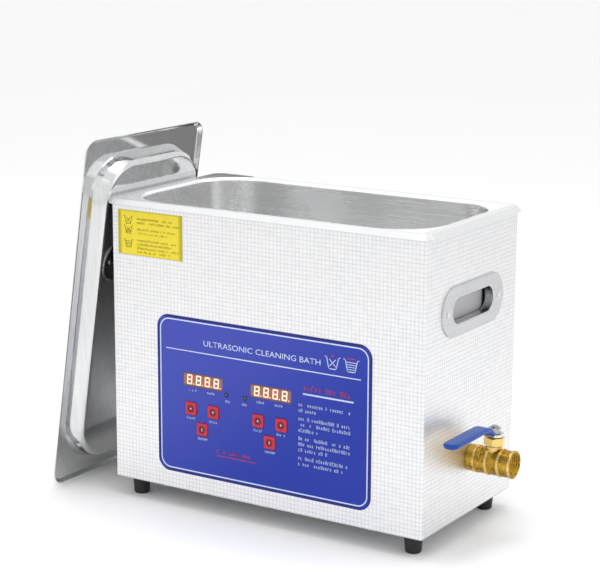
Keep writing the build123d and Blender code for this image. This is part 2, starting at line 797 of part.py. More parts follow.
with BuildPart() as valve_ball:
    with Locations(ball_centre):
        Sphere(ball_radius)
    # shut at rest: the port lies across the pipe
    with BuildSketch(Plane.XZ.offset(-valve_y)):
        with Locations((ball_x, valve_z)):
            Circle(drain_bore)
    extrude(amount=ball_radius, both=True, mode=Mode.SUBTRACT)
    with BuildSketch(Plane.XY.offset(valve_z + ball_radius)):
        with Locations((ball_x, valve_y)):
            Rectangle(tang_width, 4 * ball_radius)
    extrude(amount=-tang_depth, mode=Mode.SUBTRACT)
valve_ball.part.label = "valve_ball"
export_step(valve_ball.part, "parts/valve_ball.step")

with BuildPart() as valve_stem:
    with BuildSketch(Plane.XY.offset(valve_z + ball_radius)):
        with Locations((ball_x, valve_y)):
            Circle(stem_radius)
    extrude(amount=stem_top - valve_z - ball_radius)
    with BuildSketch(Plane.XY.offset(valve_z + ball_radius)):
        with Locations((ball_x, valve_y)):
            Rectangle(tang_width, tang_length)
    extrude(amount=-tang_depth)
    with BuildSketch(Plane.XY.offset(stem_top)):
        with Locations((ball_x, valve_y)):
            Circle(stem_thread_radius)
    extrude(amount=lever_thickness + lever_nut_height + stem_thread_proud)
    chamfer(valve_stem.edges().group_by(Axis.Z)[-1], stem_chamfer)
valve_stem.part.label = "valve_stem"
export_step(valve_stem.part, "parts/valve_stem.step")

with BuildPart() as packing_nut:
    with BuildSketch(Plane.XY.offset(valve_z + neck_top)):
        with Locations((ball_x, valve_y)):
            RegularPolygon(packing_nut_radius, 6, rotation=packing_nut_turn)
            Circle(stem_radius + stem_running_gap, mode=Mode.SUBTRACT)
    extrude(amount=packing_nut_height)
    chamfer(packing_nut.faces().sort_by(Axis.Z)[-1].outer_wire().edges(), packing_nut_chamfer)
packing_nut.part.label = "packing_nut"
export_step(packing_nut.part, "parts/packing_nut.step")

# ---- Lever: a cranked steel strip in a blue sleeve, held by a nut --------------------------------
lever_low = stem_top + lever_thickness / 2
lever_high = lever_low + lever_rise
lever_line = [
    (valve_y + lever_ring_radius, lever_low),
    (valve_y - lever_ring_radius, lever_low),
    (-lever_bend, lever_high),
    (-lever_reach, lever_high),
]
slope = atan2(lever_rise, lever_bend + valve_y - lever_ring_radius)
sleeve_start = (lever_line[1][0] - sleeve_setback * cos(slope), lever_low + sleeve_setback * sin(slope))
with BuildPart() as lever:
    with BuildSketch(Plane.YZ.offset(ball_x)):
        with BuildLine():
            Polyline(*lever_line[:3], (lever_tip_cover - lever_reach, lever_high))
        trace(line_width=lever_thickness)
    extrude(amount=lever_ring_radius, both=True)
    with BuildSketch(Plane.XY.offset(stem_top)):
        with Locations((ball_x, valve_y)):
            Circle(lever_ring_radius)
        with Locations((ball_x, valve_y)):
            Rectangle(lever_width, 2 * lever_reach, align=(Align.CENTER, Align.MAX))
    extrude(amount=lever_rise + 2 * lever_thickness, mode=Mode.INTERSECT)
    with BuildSketch(Plane.XY.offset(stem_top)):
        with Locations((ball_x, valve_y)):
            Circle(stem_thread_radius)
    extrude(amount=lever_thickness, mode=Mode.SUBTRACT)
lever.part.label = "lever"
export_step(lever.part, "parts/lever.step")

with BuildPart() as lever_sleeve:
    with BuildSketch(Plane.YZ.offset(ball_x)):
        with BuildLine():
            Polyline(sleeve_start, *lever_line[2:])
        trace(line_width=lever_sleeve_thickness)
    extrude(amount=lever_sleeve_width / 2, both=True)
    with BuildSketch(Plane.XY.offset(stem_top)):
        with Locations((ball_x, -lever_reach)):
            SlotOverall(
                2 * lever_reach, lever_sleeve_width, rotation=90, align=(Align.MIN, Align.CENTER)
            )
    extrude(amount=lever_rise + 3 * lever_thickness, mode=Mode.INTERSECT)
    add(lever.part, mode=Mode.SUBTRACT)
lever_sleeve.part.label = "lever_sleeve"
export_step(lever_sleeve.part, "parts/lever_sleeve.step")

with BuildPart() as lever_nut:
    with BuildSketch(Plane.XY.offset(stem_top + lever_thickness)):
        with Locations((ball_x, valve_y)):
            RegularPolygon(lever_nut_radius, 6, rotation=lever_nut_turn)
            Circle(stem_thread_radius, mode=Mode.SUBTRACT)
    extrude(amount=lever_nut_height)
    chamfer(lever_nut.faces().sort_by(Axis.Z)[-1].outer_wire().edges(), lever_nut_chamfer)
lever_nut.part.label = "lever_nut"
export_step(lever_nut.part, "parts/lever_nut.step")

# ---- Transducers: three stacks bolted and glued under the tank -----------------------------------
stack_x = [transducer_middle_x + step * transducer_pitch for step in (-1, 0, 1)]
upper_ring_z = tank_underside - front_mass_height - piezo_height
upper_electrode_z = upper_ring_z - electrode_height
lower_ring_z = upper_electrode_z - piezo_height
lower_electrode_z = lower_ring_z - electrode_height
tail_z = lower_electrode_z - tail_mass_height
with BuildPart() as transducer_front_masses:
    with Locations(*[(x, 0, tank_underside) for x in stack_x]):
        Cone(
            front_mass_neck,
            front_mass_radius,
            front_mass_height,
            align=(Align.CENTER, Align.CENTER, Align.MAX),
        )
    with BuildSketch(Plane.XY.offset(upper_ring_z + piezo_height)):
        with Locations(*[(x, 0) for x in stack_x]):
            Circle(stack_bolt_radius)
    extrude(amount=front_mass_height / 2, mode=Mode.SUBTRACT)
transducer_front_masses.part.label = "transducer_front_masses"
export_step(transducer_front_masses.part, "parts/transducer_front_masses.step")

with BuildPart() as piezo_rings:
    for ring_z in (upper_ring_z, lower_ring_z):
        with BuildSketch(Plane.XY.offset(ring_z)):
            with Locations(*[(x, 0) for x in stack_x]):
                Circle(piezo_radius)
                Circle(piezo_bore, mode=Mode.SUBTRACT)
        extrude(amount=piezo_height)
piezo_rings.part.label = "piezo_rings"
export_step(piezo_rings.part, "parts/piezo_rings.step")

with BuildPart() as electrodes:
    for electrode_z in (upper_electrode_z, lower_electrode_z):
        with BuildSketch(Plane.XY.offset(electrode_z)):
            with Locations(*[(x, 0) for x in stack_x]):
                Circle(piezo_radius)
                # the solder tab
                with Locations((0, piezo_radius)):
                    Rectangle(piezo_height, 3 * piezo_height)
                Circle(piezo_bore, mode=Mode.SUBTRACT)
        extrude(amount=electrode_height)
electrodes.part.label = "electrodes"
export_step(electrodes.part, "parts/electrodes.step")

with BuildPart() as tail_masses:
    with BuildSketch(Plane.XY.offset(tail_z)):
        with Locations(*[(x, 0) for x in stack_x]):
            Circle(piezo_radius)
            Circle(stack_bolt_radius, mode=Mode.SUBTRACT)
    extrude(amount=tail_mass_height)
tail_masses.part.label = "tail_masses"
export_step(tail_masses.part, "parts/tail_masses.step")

with BuildPart() as transducer_bolts:
    with BuildSketch(Plane.XY.offset(tail_z)):
        with Locations(*[(x, 0) for x in stack_x]):
            RegularPolygon(stack_bolt_head, 6)
    extrude(amount=-stack_bolt_head_height)
    with BuildSketch(Plane.XY.offset(tail_z)):
        with Locations(*[(x, 0) for x in stack_x]):
            Circle(stack_bolt_radius)
    extrude(amount=tank_underside - front_mass_height / 2 - tail_z - stack_bolt_gap)
transducer_bolts.part.label = "transducer_bolts"
export_step(transducer_bolts.part, "parts/transducer_bolts.step")

# ---- Heating: pads bonded to the tank's long walls, and a thermostat under its floor -------------
heater_width = tank_length - 2 * tank_corner - 2 * heater_margin
heater_z = tank_floor + tank_floor_radius + heater_margin + heater_height / 2
for side, direction in (("front", -1), ("rear", 1)):
    wall = direction * (tank_half_width + sheet)
    with BuildPart() as heater_pad:
        with BuildSketch(Plane((0, wall, 0), x_dir=(-direction, 0, 0), z_dir=(0, direction, 0))):
            with Locations((0, heater_z)):
                RectangleRounded(heater_width, heater_height, heater_margin / 2)
        extrude(amount=heater_thickness)
    heater_pad.part.label = f"heater_pad_{side}"
    export_step(heater_pad.part, f"parts/heater_pad_{side}.step")

with BuildPart() as thermostat:
    thermostat_x = transducer_middle_x + transducer_pitch / 2
    thermostat_y = tank_half_width - tank_floor_radius - thermostat_radius - thermostat_gap
    with BuildSketch(Plane.XY.offset(tank_underside)):
        with Locations((thermostat_x, thermostat_y)):
            Circle(thermostat_radius)
    extrude(amount=-thermostat_height)
    with BuildSketch(Plane.XY.offset(tank_underside - thermostat_height)):
        with Locations((thermostat_x, thermostat_y)):
            with GridLocations(thermostat_radius, 0, 2, 1):
                Rectangle(terminal_thickness, terminal_width)
    extrude(amount=-thermostat_radius)
thermostat.part.label = "thermostat"
export_step(thermostat.part, "parts/thermostat.step")

# ---- Control panel -------------------------------------------------------------------------------
with BuildPart() as panel_overlay:
    with BuildSketch(front_plane):
        with Locations((0, panel_z)):
            RectangleRounded(panel_width, panel_height, panel_corner)
        with Locations(*display_places):
            Rectangle(display_width + 2 * fit_gap, display_height + 2 * fit_gap, mode=Mode.SUBTRACT)
        with Locations(*lamp_places):
            Circle(lamp_radius + fit_gap, mode=Mode.SUBTRACT)
        with Locations(*key_places):
            RectangleRounded(
                key_size + 2 * key_gap, key_size + 2 * key_gap, key_corner + key_gap, mode=Mode.SUBTRACT
            )
    extrude(amount=panel_thickness)
panel_overlay.part.label = "panel_overlay"
export_step(panel_overlay.part, "parts/panel_overlay.step")

board_plane = Plane((0, board_front, 0), x_dir=(1, 0, 0), z_dir=(0, -1, 0))
with BuildPart() as control_board:
    with BuildSketch(board_plane):
        with Locations(board_middle):
            Rectangle(board_right - board_left, board_top - board_bottom)
    extrude(amount=-board_thickness)
control_board.part.label = "control_board"
export_step(control_board.part, "parts/control_board.step")

display_depth = board_front - front_face + panel_thickness - display_recess
for name, place in zip(("temp", "time"), display_places):
    with BuildPart() as display:
        with BuildSketch(board_plane):
            with Locations(place):
                Rectangle(display_width, display_height)
        extrude(amount=display_depth)
    display.part.label = f"display_{name}"
    export_step(display.part, f"parts/display_{name}.step")

with BuildPart() as indicator_lamps:
    with BuildSketch(board_plane):
        with Locations(*lamp_places):
            Circle(lamp_radius)
    extrude(amount=display_depth + lamp_radius / 2)
    fillet(indicator_lamps.faces().group_by(Axis.Y)[0].edges(), lamp_edge_radius)
indicator_lamps.part.label = "indicator_lamps"
export_step(indicator_lamps.part, "parts/indicator_lamps.step")

key_flange_front = front_plane.offset(-sheet - key_gap)
switch_height = standoff_length - 2 * key_gap - key_flange - key_travel - key_stem_length
for name, place in zip(key_names, key_places):
    with BuildPart() as key:
        with BuildSketch(key_flange_front):
            with Locations(place):
                RectangleRounded(key_size, key_size, key_corner)
        extrude(amount=key_gap + sheet + panel_thickness + key_proud)
        fillet(key.faces().sort_by(Axis.Y)[0].edges(), key_edge_radius)
        with BuildSketch(key_flange_front):
            with Locations(place):
                flange_size = key_size + 2 * (key_gap + key_flange)
                RectangleRounded(flange_size, flange_size, key_corner + key_flange)
        extrude(amount=-key_flange)
        with BuildSketch(board_plane.offset(switch_height + key_travel + key_gap)):
            with Locations(place):
                Circle(key_stem_radius)
        extrude(until=Until.NEXT)
    key.part.label = f"key_{name}"
    export_step(key.part, f"parts/key_{name}.step")

with BuildPart() as key_switches:
    with BuildSketch(board_plane):
        with Locations(*key_places):
            Rectangle(switch_size, switch_size)
    extrude(amount=switch_height - plunger_height)
    with BuildSketch(board_plane):
        with Locations(*key_places):
            Circle(plunger_radius)
    extrude(amount=switch_height)
key_switches.part.label = "key_switches"
export_step(key_switches.part, "parts/key_switches.step")

generator_middle = (transducer_middle_x, 0)
generator_hole_span = (generator_width - board_margin, generator_depth - board_margin)
generator_z = wrap_bottom + standoff_length
board_top_z = generator_z + board_thickness
with BuildPart() as board_standoffs:
    with BuildSketch(board_plane):
        with Locations(board_middle):
            with GridLocations(*board_hole_span, 2, 2):
                RegularPolygon(standoff_radius, 6)
    extrude(amount=standoff_length)
    with BuildSketch(Plane.XY.offset(wrap_bottom)):
        with Locations(generator_middle):
            with GridLocations(*generator_hole_span, 2, 2):
                RegularPolygon(standoff_radius, 6)
    extrude(amount=standoff_length)
board_standoffs.part.label = "board_standoffs"
export_step(board_standoffs.part, "parts/board_standoffs.step")

# ---- Generator board and its heavy parts ---------------------------------------------------------
with BuildPart() as generator_board:
    with BuildSketch(Plane.XY.offset(generator_z)):
        with Locations(generator_middle):
            Rectangle(generator_width, generator_depth)
    extrude(amount=board_thickness)
generator_board.part.label = "generator_board"
export_step(generator_board.part, "parts/generator_board.step")

transformer_x = transducer_middle_x - generator_width / 2 + transformer_size
with BuildPart() as transformer:
    with BuildSketch(Plane.XY.offset(board_top_z)):
        with Locations((transformer_x, 0)):
            Rectangle(transformer_size, transformer_depth)
    extrude(amount=transformer_height)
    with BuildSketch(Plane.XY.offset(board_top_z + winding_inset)):
        with Locations((transformer_x, 0)):
            RectangleRounded(winding_width, transformer_size, winding_corner)
    extrude(amount=transformer_height - 2 * winding_inset)
transformer.part.label = "transformer"
export_step(transformer.part, "parts/transformer.step")

heatsink_x = transducer_middle_x + generator_width / 2 - heatsink_length / 2 - board_margin
heatsink_y = generator_depth / 2 - board_margin - heatsink_edge_gap
with BuildPart() as heatsink:
    with BuildSketch(Plane.XY.offset(board_top_z)):
        with Locations((heatsink_x, heatsink_y)):
            Rectangle(heatsink_length, heatsink_web)
            with GridLocations(heatsink_length / heatsink_fins, 0, heatsink_fins, 1):
                Rectangle(heatsink_fin, heatsink_depth)
    extrude(amount=heatsink_height)
heatsink.part.label = "heatsink"
export_step(heatsink.part, "parts/heatsink.step")

with BuildPart() as capacitors:
    with BuildSketch(Plane.XY.offset(board_top_z)):
        with Locations((heatsink_x, -generator_depth / 4)):
            with GridLocations(3 * capacitor_radius, 0, 3, 1):
                Circle(capacitor_radius)
    extrude(amount=capacitor_height)
    fillet(capacitors.edges().group_by(Axis.Z)[-1], capacitor_edge_radius)
capacitors.part.label = "capacitors"
export_step(capacitors.part, "parts/capacitors.step")

# ---- Mains inlet: a three-pin appliance socket ---------------------------------------------------
with BuildPart() as power_inlet:
    with BuildSketch(rear_plane):
        with Locations((-inlet_x, rear_z)):
            RectangleRounded(
                inlet_width + 2 * (inlet_bezel + inlet_ear), inlet_height + 2 * inlet_bezel, inlet_bezel
            )
    extrude(amount=inlet_bezel_thickness)
    with BuildSketch(rear_plane):
        with Locations((-inlet_x, rear_z)):
            Rectangle(inlet_width, inlet_height)
    extrude(amount=-inlet_depth)
    with BuildSketch(rear_plane.offset(inlet_bezel_thickness)):
        with Locations((-inlet_x, rear_z)):
            RectangleRounded(inlet_width - 2 * inlet_wall, inlet_height - 2 * inlet_wall, inlet_wall)
    extrude(amount=inlet_wall - inlet_depth - inlet_bezel_thickness, mode=Mode.SUBTRACT)
    with BuildSketch(rear_plane.offset(inlet_wall - inlet_depth)):
        with Locations((-inlet_x, rear_z)):
            with Locations((0, pin_width / 2)):
                Rectangle(pin_thickness, pin_width)
            with Locations((-pin_pitch / 2, -pin_width / 2), (pin_pitch / 2, -pin_width / 2)):
                Rectangle(pin_thickness, pin_width)
    extrude(amount=pin_length)
power_inlet.part.label = "power_inlet"
export_step(power_inlet.part, "parts/power_inlet.step")

# ---- Mains rocker, resting in its off position ---------------------------------------------------
rocker_pivot_y = rear_face + rocker_bezel / 2
rocker_inner_width = rocker_width - 2 * rocker_wall
rocker_inner_height = rocker_height - 2 * rocker_wall
with BuildPart() as rocker_frame:
    with BuildSketch(rear_plane):
        with Locations((-rocker_x, rear_z)):
            RectangleRounded(
                rocker_width + 2 * rocker_bezel, rocker_height + 2 * rocker_bezel, rocker_bezel_corner
            )
    extrude(amount=rocker_bezel)
    fillet(rocker_frame.faces().sort_by(Axis.Y)[-1].edges(), rocker_edge_radius)
    with BuildSketch(rear_plane):
        with Locations((-rocker_x, rear_z)):
            Rectangle(rocker_width, rocker_height)
    extrude(amount=-rocker_depth)
    with BuildSketch(rear_plane.offset(rocker_bezel)):
        with Locations((-rocker_x, rear_z)):
            Rectangle(rocker_inner_width, rocker_inner_height)
    extrude(amount=rocker_wall - rocker_depth - rocker_bezel, mode=Mode.SUBTRACT)
    with BuildSketch(Plane.YZ.offset(rocker_x)):
        with Locations((rocker_pivot_y, rear_z)):
            Circle(rocker_pin_radius + fan_shaft_gap)
    extrude(amount=rocker_inner_width / 2 + rocker_pin_reach + fit_gap, both=True, mode=Mode.SUBTRACT)
rocker_frame.part.label = "rocker_frame"
export_step(rocker_frame.part, "parts/rocker_frame.step")

tilt = radians(rocker_tilt)
rocker_plane = Plane(
    (rocker_x, rocker_pivot_y, rear_z), x_dir=(-1, 0, 0), z_dir=(0, cos(tilt), sin(tilt))
)
with BuildPart() as rocker:
    rocker_length = rocker_inner_height - 2 * rocker_gap - rocker_thickness * sin(tilt)
    with BuildSketch(rocker_plane.offset(-rocker_thickness / 2)):
        Rectangle(rocker_inner_width - 2 * rocker_gap, rocker_length)
    extrude(amount=rocker_thickness)
    fillet(rocker.edges().filter_by(Axis.X), rocker_edge_radius)
    with BuildSketch(Plane.YZ.offset(rocker_x)):
        with Locations((rocker_pivot_y, rear_z)):
            Circle(rocker_pin_radius)
    extrude(amount=rocker_inner_width / 2 + rocker_pin_reach, both=True)
rocker.part.label = "rocker"
export_step(rocker.part, "parts/rocker.step")

# ---- Cooling fan ---------------------------------------------------------------------------------
fan_rear = rear_plane.offset(-sheet)
fan_front = rear_plane.offset(-sheet - fan_depth)
rotor_start = fan_motor_depth + fan_rotor_gap
rotor_depth = fan_depth - rotor_start - fan_rotor_gap
with BuildPart() as fan_frame:
    with BuildSketch(fan_front):
        with Locations((-fan_x, fan_z)):
            RectangleRounded(fan_size, fan_size, fan_corner)
            Circle(fan_hole_radius, mode=Mode.SUBTRACT)
            with GridLocations(*fan_screw_grid):
                Circle(hole_radius, mode=Mode.SUBTRACT)
    extrude(amount=fan_depth)
    with BuildSketch(fan_front):
        with Locations((-fan_x, fan_z)):
            Circle(fan_motor_radius)
            with PolarLocations((fan_motor_radius + fan_hole_radius) / 2, 3, start_angle=90):
                Rectangle(fan_hole_radius - fan_motor_radius + fan_strut_width / 2, fan_strut_width)
            Circle(fan_shaft_radius + fan_shaft_gap, mode=Mode.SUBTRACT)
    extrude(amount=fan_motor_depth)
fan_frame.part.label = "fan_frame"
export_step(fan_frame.part, "parts/fan_frame.step")

with BuildPart() as fan_rotor:
    with BuildSketch(fan_front.offset(rotor_start)):
        with Locations((-fan_x, fan_z)):
            Circle(fan_hub_radius)
    extrude(amount=rotor_depth)
    fillet(fan_rotor.faces().sort_by(Axis.Y)[-1].edges(), fan_hub_edge_radius)
    blade_length = fan_hole_radius - fan_blade_gap - fan_hub_radius
    blade_plane = Plane(
        fan_front.offset(rotor_start + rotor_depth / 2).from_local_coords((-fan_x, fan_z, 0)),
        x_dir=(-1, 0, 0),
        z_dir=(0, 1, 0),
    )
    with Locations(blade_plane):
        with PolarLocations(fan_hub_radius + blade_length / 2 - fan_blade_root, fan_blades):
            Box(
                blade_length,
                rotor_depth - 2 * fan_blade_root,
                fan_blade_thickness,
                rotation=(fan_blade_pitch, 0, 0),
            )
    with BuildSketch(fan_front.offset(fan_shaft_setback)):
        with Locations((-fan_x, fan_z)):
            Circle(fan_shaft_radius)
    extrude(amount=rotor_start)
fan_rotor.part.label = "fan_rotor"
export_step(fan_rotor.part, "parts/fan_rotor.step")

with BuildPart() as fan_guard:
    with BuildSketch(rear_plane):
        with Locations((-fan_x, fan_z)):
            for ring in range(guard_rings, 0, -1):
                Circle(fan_hole_radius * ring / guard_rings)
                Circle(fan_hole_radius * ring / guard_rings - guard_wire, mode=Mode.SUBTRACT)
            with PolarLocations(0, 2, start_angle=45, angular_range=180):
                Rectangle(fan_screw_pitch * sqrt(2), guard_wire)
            with GridLocations(*fan_screw_grid):
                Circle(screw_head_radius + guard_wire / 2)
                Circle(hole_radius, mode=Mode.SUBTRACT)
    extrude(amount=guard_wire)
fan_guard.part.label = "fan_guard"
export_step(fan_guard.part, "parts/fan_guard.step")

# ---- Lid -----------------------------------------------------------------------------------------
# Its flange plane leans by lid_lean, stands on its lip's lower edge and clears the rim's left lip.
lean = radians(lid_lean)
rim_tip_x = -rim_length / 2 - rim_lip_run
rim_tip_z = overall_height - rim_lip_drop
lid_length = rim_length + 2 * lid_over_rim
lid_width = rim_width + 2 * lid_over_rim
lid_half = lid_length / 2 + (sheet + lid_lip_drop) * tan(radians(lip_angle))
lid_centre_z = lid_half * cos(lean) + lid_lip_drop * sin(lean)
lid_reach = lid_pan_depth + lid_rest_gap + sin(lean) * (rim_tip_z - lid_centre_z)
lid_centre_x = rim_tip_x - lid_reach / cos(lean)
lid_plane = Plane(
    (lid_centre_x, lid_y, lid_centre_z),
    x_dir=(sin(lean), 0, cos(lean)),
    z_dir=(cos(lean), 0, -sin(lean)),
)
pan_length = tank_length - 2 * lid_pan_clearance
pan_width = tank_width - 2 * lid_pan_clearance
pan_corner = tank_corner - lid_pan_clearance
pan_taper = degrees(atan2(lid_pan_draft, lid_pan_depth))
handle_places = [(-handle_span / 2, 0), (handle_span / 2, 0)]
with BuildPart() as lid_lip:
    with BuildSketch(lid_plane.offset(-sheet)):
        RectangleRounded(lid_length, lid_width, rim_corner)
    extrude(amount=sheet + lid_lip_drop, taper=-lip_angle)
    with BuildSketch(lid_plane):
        RectangleRounded(lid_length + 2 * lip_spread, lid_width + 2 * lip_spread, rim_corner)
    extrude(amount=lid_lip_drop + fit_gap, taper=-lip_angle, mode=Mode.SUBTRACT)

with BuildPart() as pan_hollow:
    with BuildSketch(lid_plane.offset(-sheet)):
        RectangleRounded(pan_length - 2 * sheet, pan_width - 2 * sheet, pan_corner - sheet)
    extrude(amount=lid_pan_depth, taper=pan_taper)
    pan_axis = Axis(lid_plane.origin, lid_plane.z_dir)
    fillet(pan_hollow.faces().sort_by(pan_axis)[-1].edges(), lid_pan_radius - sheet)

with BuildPart() as lid:
    with BuildSketch(lid_plane):
        RectangleRounded(pan_length, pan_width, pan_corner)
    extrude(amount=lid_pan_depth, taper=pan_taper)
    fillet(lid.faces().sort_by(pan_axis)[-1].edges(), lid_pan_radius)
    add(lid_lip.part)
    add(pan_hollow.part, mode=Mode.SUBTRACT)
    with BuildSketch(lid_plane):
        with Locations(*handle_places):
            Circle(handle_stud_radius)
    extrude(amount=lid_pan_depth, mode=Mode.SUBTRACT)
lid.part.label = "lid"
export_step(lid.part, "parts/lid.step")

# ---- Lid handle: a bent rod standing on the pan's outer face, its studs through the lid ----------
pan_floor = lid_pan_depth - sheet
handle_top = pan_floor - handle_height + handle_rod_radius
with BuildPart() as lid_handle:
    with BuildLine():
        handle_line = FilletPolyline(
            lid_plane.from_local_coords((-handle_span / 2, 0, pan_floor)),
            lid_plane.from_local_coords((-handle_span / 2, 0, handle_top)),
            lid_plane.from_local_coords((handle_span / 2, 0, handle_top)),
            lid_plane.from_local_coords((handle_span / 2, 0, pan_floor)),
            radius=handle_bend_radius,
        )
    with BuildSketch(Plane(handle_line @ 0, z_dir=handle_line % 0)):
        Circle(handle_rod_radius)
    sweep()
    with BuildSketch(lid_plane.offset(pan_floor)):
        with Locations(*handle_places):
            Circle(handle_stud_radius)
    extrude(amount=sheet + handle_nut_height + handle_stud_proud)
lid_handle.part.label = "lid_handle"
export_step(lid_handle.part, "parts/lid_handle.step")

with BuildPart() as lid_handle_nuts:
    with BuildSketch(lid_plane.offset(lid_pan_depth)):
        with Locations(*handle_places):
            RegularPolygon(handle_nut_radius, 6)
            Circle(handle_stud_radius, mode=Mode.SUBTRACT)
    extrude(amount=handle_nut_height)
lid_handle_nuts.part.label = "lid_handle_nuts"
export_step(lid_handle_nuts.part, "parts/lid_handle_nuts.step")
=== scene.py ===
"""Looks for the benchtop ultrasonic cleaner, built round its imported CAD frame. Metres, +Z up."""

import functools
import logging
import math
from dataclasses import dataclass, field
from enum import Enum
from typing import Any, Mapping, Sequence, Union

import bmesh
import bpy
import numpy as np
from mathutils import Matrix, Vector


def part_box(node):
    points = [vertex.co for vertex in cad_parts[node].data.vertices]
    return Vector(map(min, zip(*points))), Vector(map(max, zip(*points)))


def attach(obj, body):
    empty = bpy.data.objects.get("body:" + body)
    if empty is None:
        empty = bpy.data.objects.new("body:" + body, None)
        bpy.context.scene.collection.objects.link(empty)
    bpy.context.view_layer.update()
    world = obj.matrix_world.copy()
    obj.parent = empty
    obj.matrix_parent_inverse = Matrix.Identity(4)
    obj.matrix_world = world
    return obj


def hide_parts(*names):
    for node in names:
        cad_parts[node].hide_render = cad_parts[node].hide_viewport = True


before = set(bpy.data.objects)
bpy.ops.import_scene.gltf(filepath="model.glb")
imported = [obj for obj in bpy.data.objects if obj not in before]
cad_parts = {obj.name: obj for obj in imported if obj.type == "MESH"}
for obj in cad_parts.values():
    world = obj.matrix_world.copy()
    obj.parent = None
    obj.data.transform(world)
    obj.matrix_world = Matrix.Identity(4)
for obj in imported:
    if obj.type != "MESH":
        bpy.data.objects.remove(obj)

LOG = logging.getLogger("cleaner")
MM = 0.001
Colour = tuple[float, float, float]
Number = Union["Wire", float]


# ---- Shader sheets -------------------------------------------------------------------------------


class Wire:
    """One output in a material's nodes; arithmetic on it adds the Math node that works it out."""

    def __init__(self, sheet: "Sheet", socket: bpy.types.NodeSocket) -> None:
        """Keeps the sheet the socket is on."""
        self.sheet = sheet
        self.socket = socket

    def _math(self, operation: str, *operands: Number) -> "Wire":
        """The Math node that does an operation on these operands."""
        return self.sheet.node("ShaderNodeMath", dict(enumerate(operands)), operation=operation)

    def __add__(self, other: Number) -> "Wire":
        """Sum."""
        return self._math("ADD", self, other)

    def __sub__(self, other: Number) -> "Wire":
        """Difference."""
        return self._math("SUBTRACT", self, other)

    def __rsub__(self, other: Number) -> "Wire":
        """Difference from a number."""
        return self._math("SUBTRACT", other, self)

    def __mul__(self, other: Number) -> "Wire":
        """Product."""
        return self._math("MULTIPLY", self, other)

    def __truediv__(self, other: Number) -> "Wire":
        """Quotient."""
        return self._math("DIVIDE", self, other)

    def __pow__(self, other: Number) -> "Wire":
        """Power."""
        return self._math("POWER", self, other)

    def __abs__(self) -> "Wire":
        """Size without its sign."""
        return self._math("ABSOLUTE", self)

    __radd__ = __add__
    __rmul__ = __mul__

    def fraction(self) -> "Wire":
        """The part after the point."""
        return self._math("FRACT", self)

    def whole(self) -> "Wire":
        """The whole number below."""
        return self._math("FLOOR", self)

    def most(self, other: Number) -> "Wire":
        """The larger of two."""
        return self._math("MAXIMUM", self, other)

    def ramp(self, low: float, high: float) -> "Wire":
        """Zero up to low, one from high, and smooth between them."""
        limits = {"Value": self, "From Min": low, "From Max": high}
        return self.sheet.node("ShaderNodeMapRange", limits, interpolation_type="SMOOTHSTEP")


class Sheet:
    """A material with one Principled shader, whose inputs are written as expressions."""

    def __init__(self, name: str) -> None:
        """Starts the material with its shader and output."""
        self.material = bpy.data.materials.new(name)
        self.material.use_nodes = True
        self.tree = self.material.node_tree
        self.tree.nodes.clear()
        self.shader = self.tree.nodes.new("ShaderNodeBsdfPrincipled")
        output = self.tree.nodes.new("ShaderNodeOutputMaterial")
        self.tree.links.new(self.shader.outputs[0], output.inputs[0])

    def node(
        self, kind: str, inputs: Mapping[Any, Any], output: int | str = 0, **settings: Any
    ) -> Wire:
        """Adds a node.

        Args:
            kind: the node's type name.
            inputs: a value or a wire for each socket, by name or place.
            output: the output that is wanted, by name or place.
            settings: the node's own settings, set before its sockets.

        Returns:
            The wanted output.
        """
        made = self.tree.nodes.new(kind)
        for name, value in settings.items():
            setattr(made, name, value)
        self._feed(made, inputs)
        return Wire(self, made.outputs[output])

    def _feed(self, made: bpy.types.Node, inputs: Mapping[Any, Any]) -> None:
        """Links or sets a node's sockets.

        Args:
            made: the node.
            inputs: a value or a wire for each socket.
        """
        for key, value in inputs.items():
            socket = made.inputs[key]
            if isinstance(value, Wire):
                self.tree.links.new(value.socket, socket)
            elif socket.type == "RGBA":
                socket.default_value = (*value[:3], 1.0)
            else:
                socket.default_value = value

    def place(self, centre: Sequence[float] = (0, 0, 0), scale: Sequence[float] = (1, 1, 1)) -> Wire:
        """Object coordinates, centred and scaled.

        Args:
            centre: the point that becomes the pattern's own zero, in metres.
            scale: how much each axis is multiplied after that.

        Returns:
            The coordinates as a vector.
        """
        where = self.node("ShaderNodeTexCoord", {}, "Object")
        shift = [-c * s for c, s in zip(centre, scale)]
        return self.node("ShaderNodeMapping", {"Vector": where, "Location": shift, "Scale": scale})

    def axes(self, vector: Wire) -> tuple[Wire, Wire, Wire]:
        """A vector's three parts, one by one."""
        first = self.node("ShaderNodeSeparateXYZ", {"Vector": vector}, "X")
        outputs = first.socket.node.outputs
        return first, Wire(self, outputs["Y"]), Wire(self, outputs["Z"])

    def noise(self, where: Wire, scale: float, detail: float = 2.0) -> Wire:
        """Cloudy noise from 0 to 1 at so many lumps to the metre."""
        return self.node("ShaderNodeTexNoise", {"Vector": where, "Scale": scale, "Detail": detail})

    def mix(self, share: Wire, first: Any, second: Any) -> Wire:
        """A colour that goes from first to second with a share."""
        return self.node("ShaderNodeMix", {0: share, 6: first, 7: second}, 2, data_type="RGBA")

    def bump(self, height: Wire, depth: float) -> Wire:
        """A normal bent by a height, whose full range stands for depth in metres."""
        return self.node("ShaderNodeBump", {"Height": height, "Distance": depth})

    def dress(self, **inputs: Any) -> bpy.types.Material:
        """Sets the shader's sockets, written with underscores, and returns the material."""
        self._feed(self.shader, {key.replace("_", " "): value for key, value in inputs.items()})
        return self.material


# ---- Finishes ------------------------------------------------------------------------------------


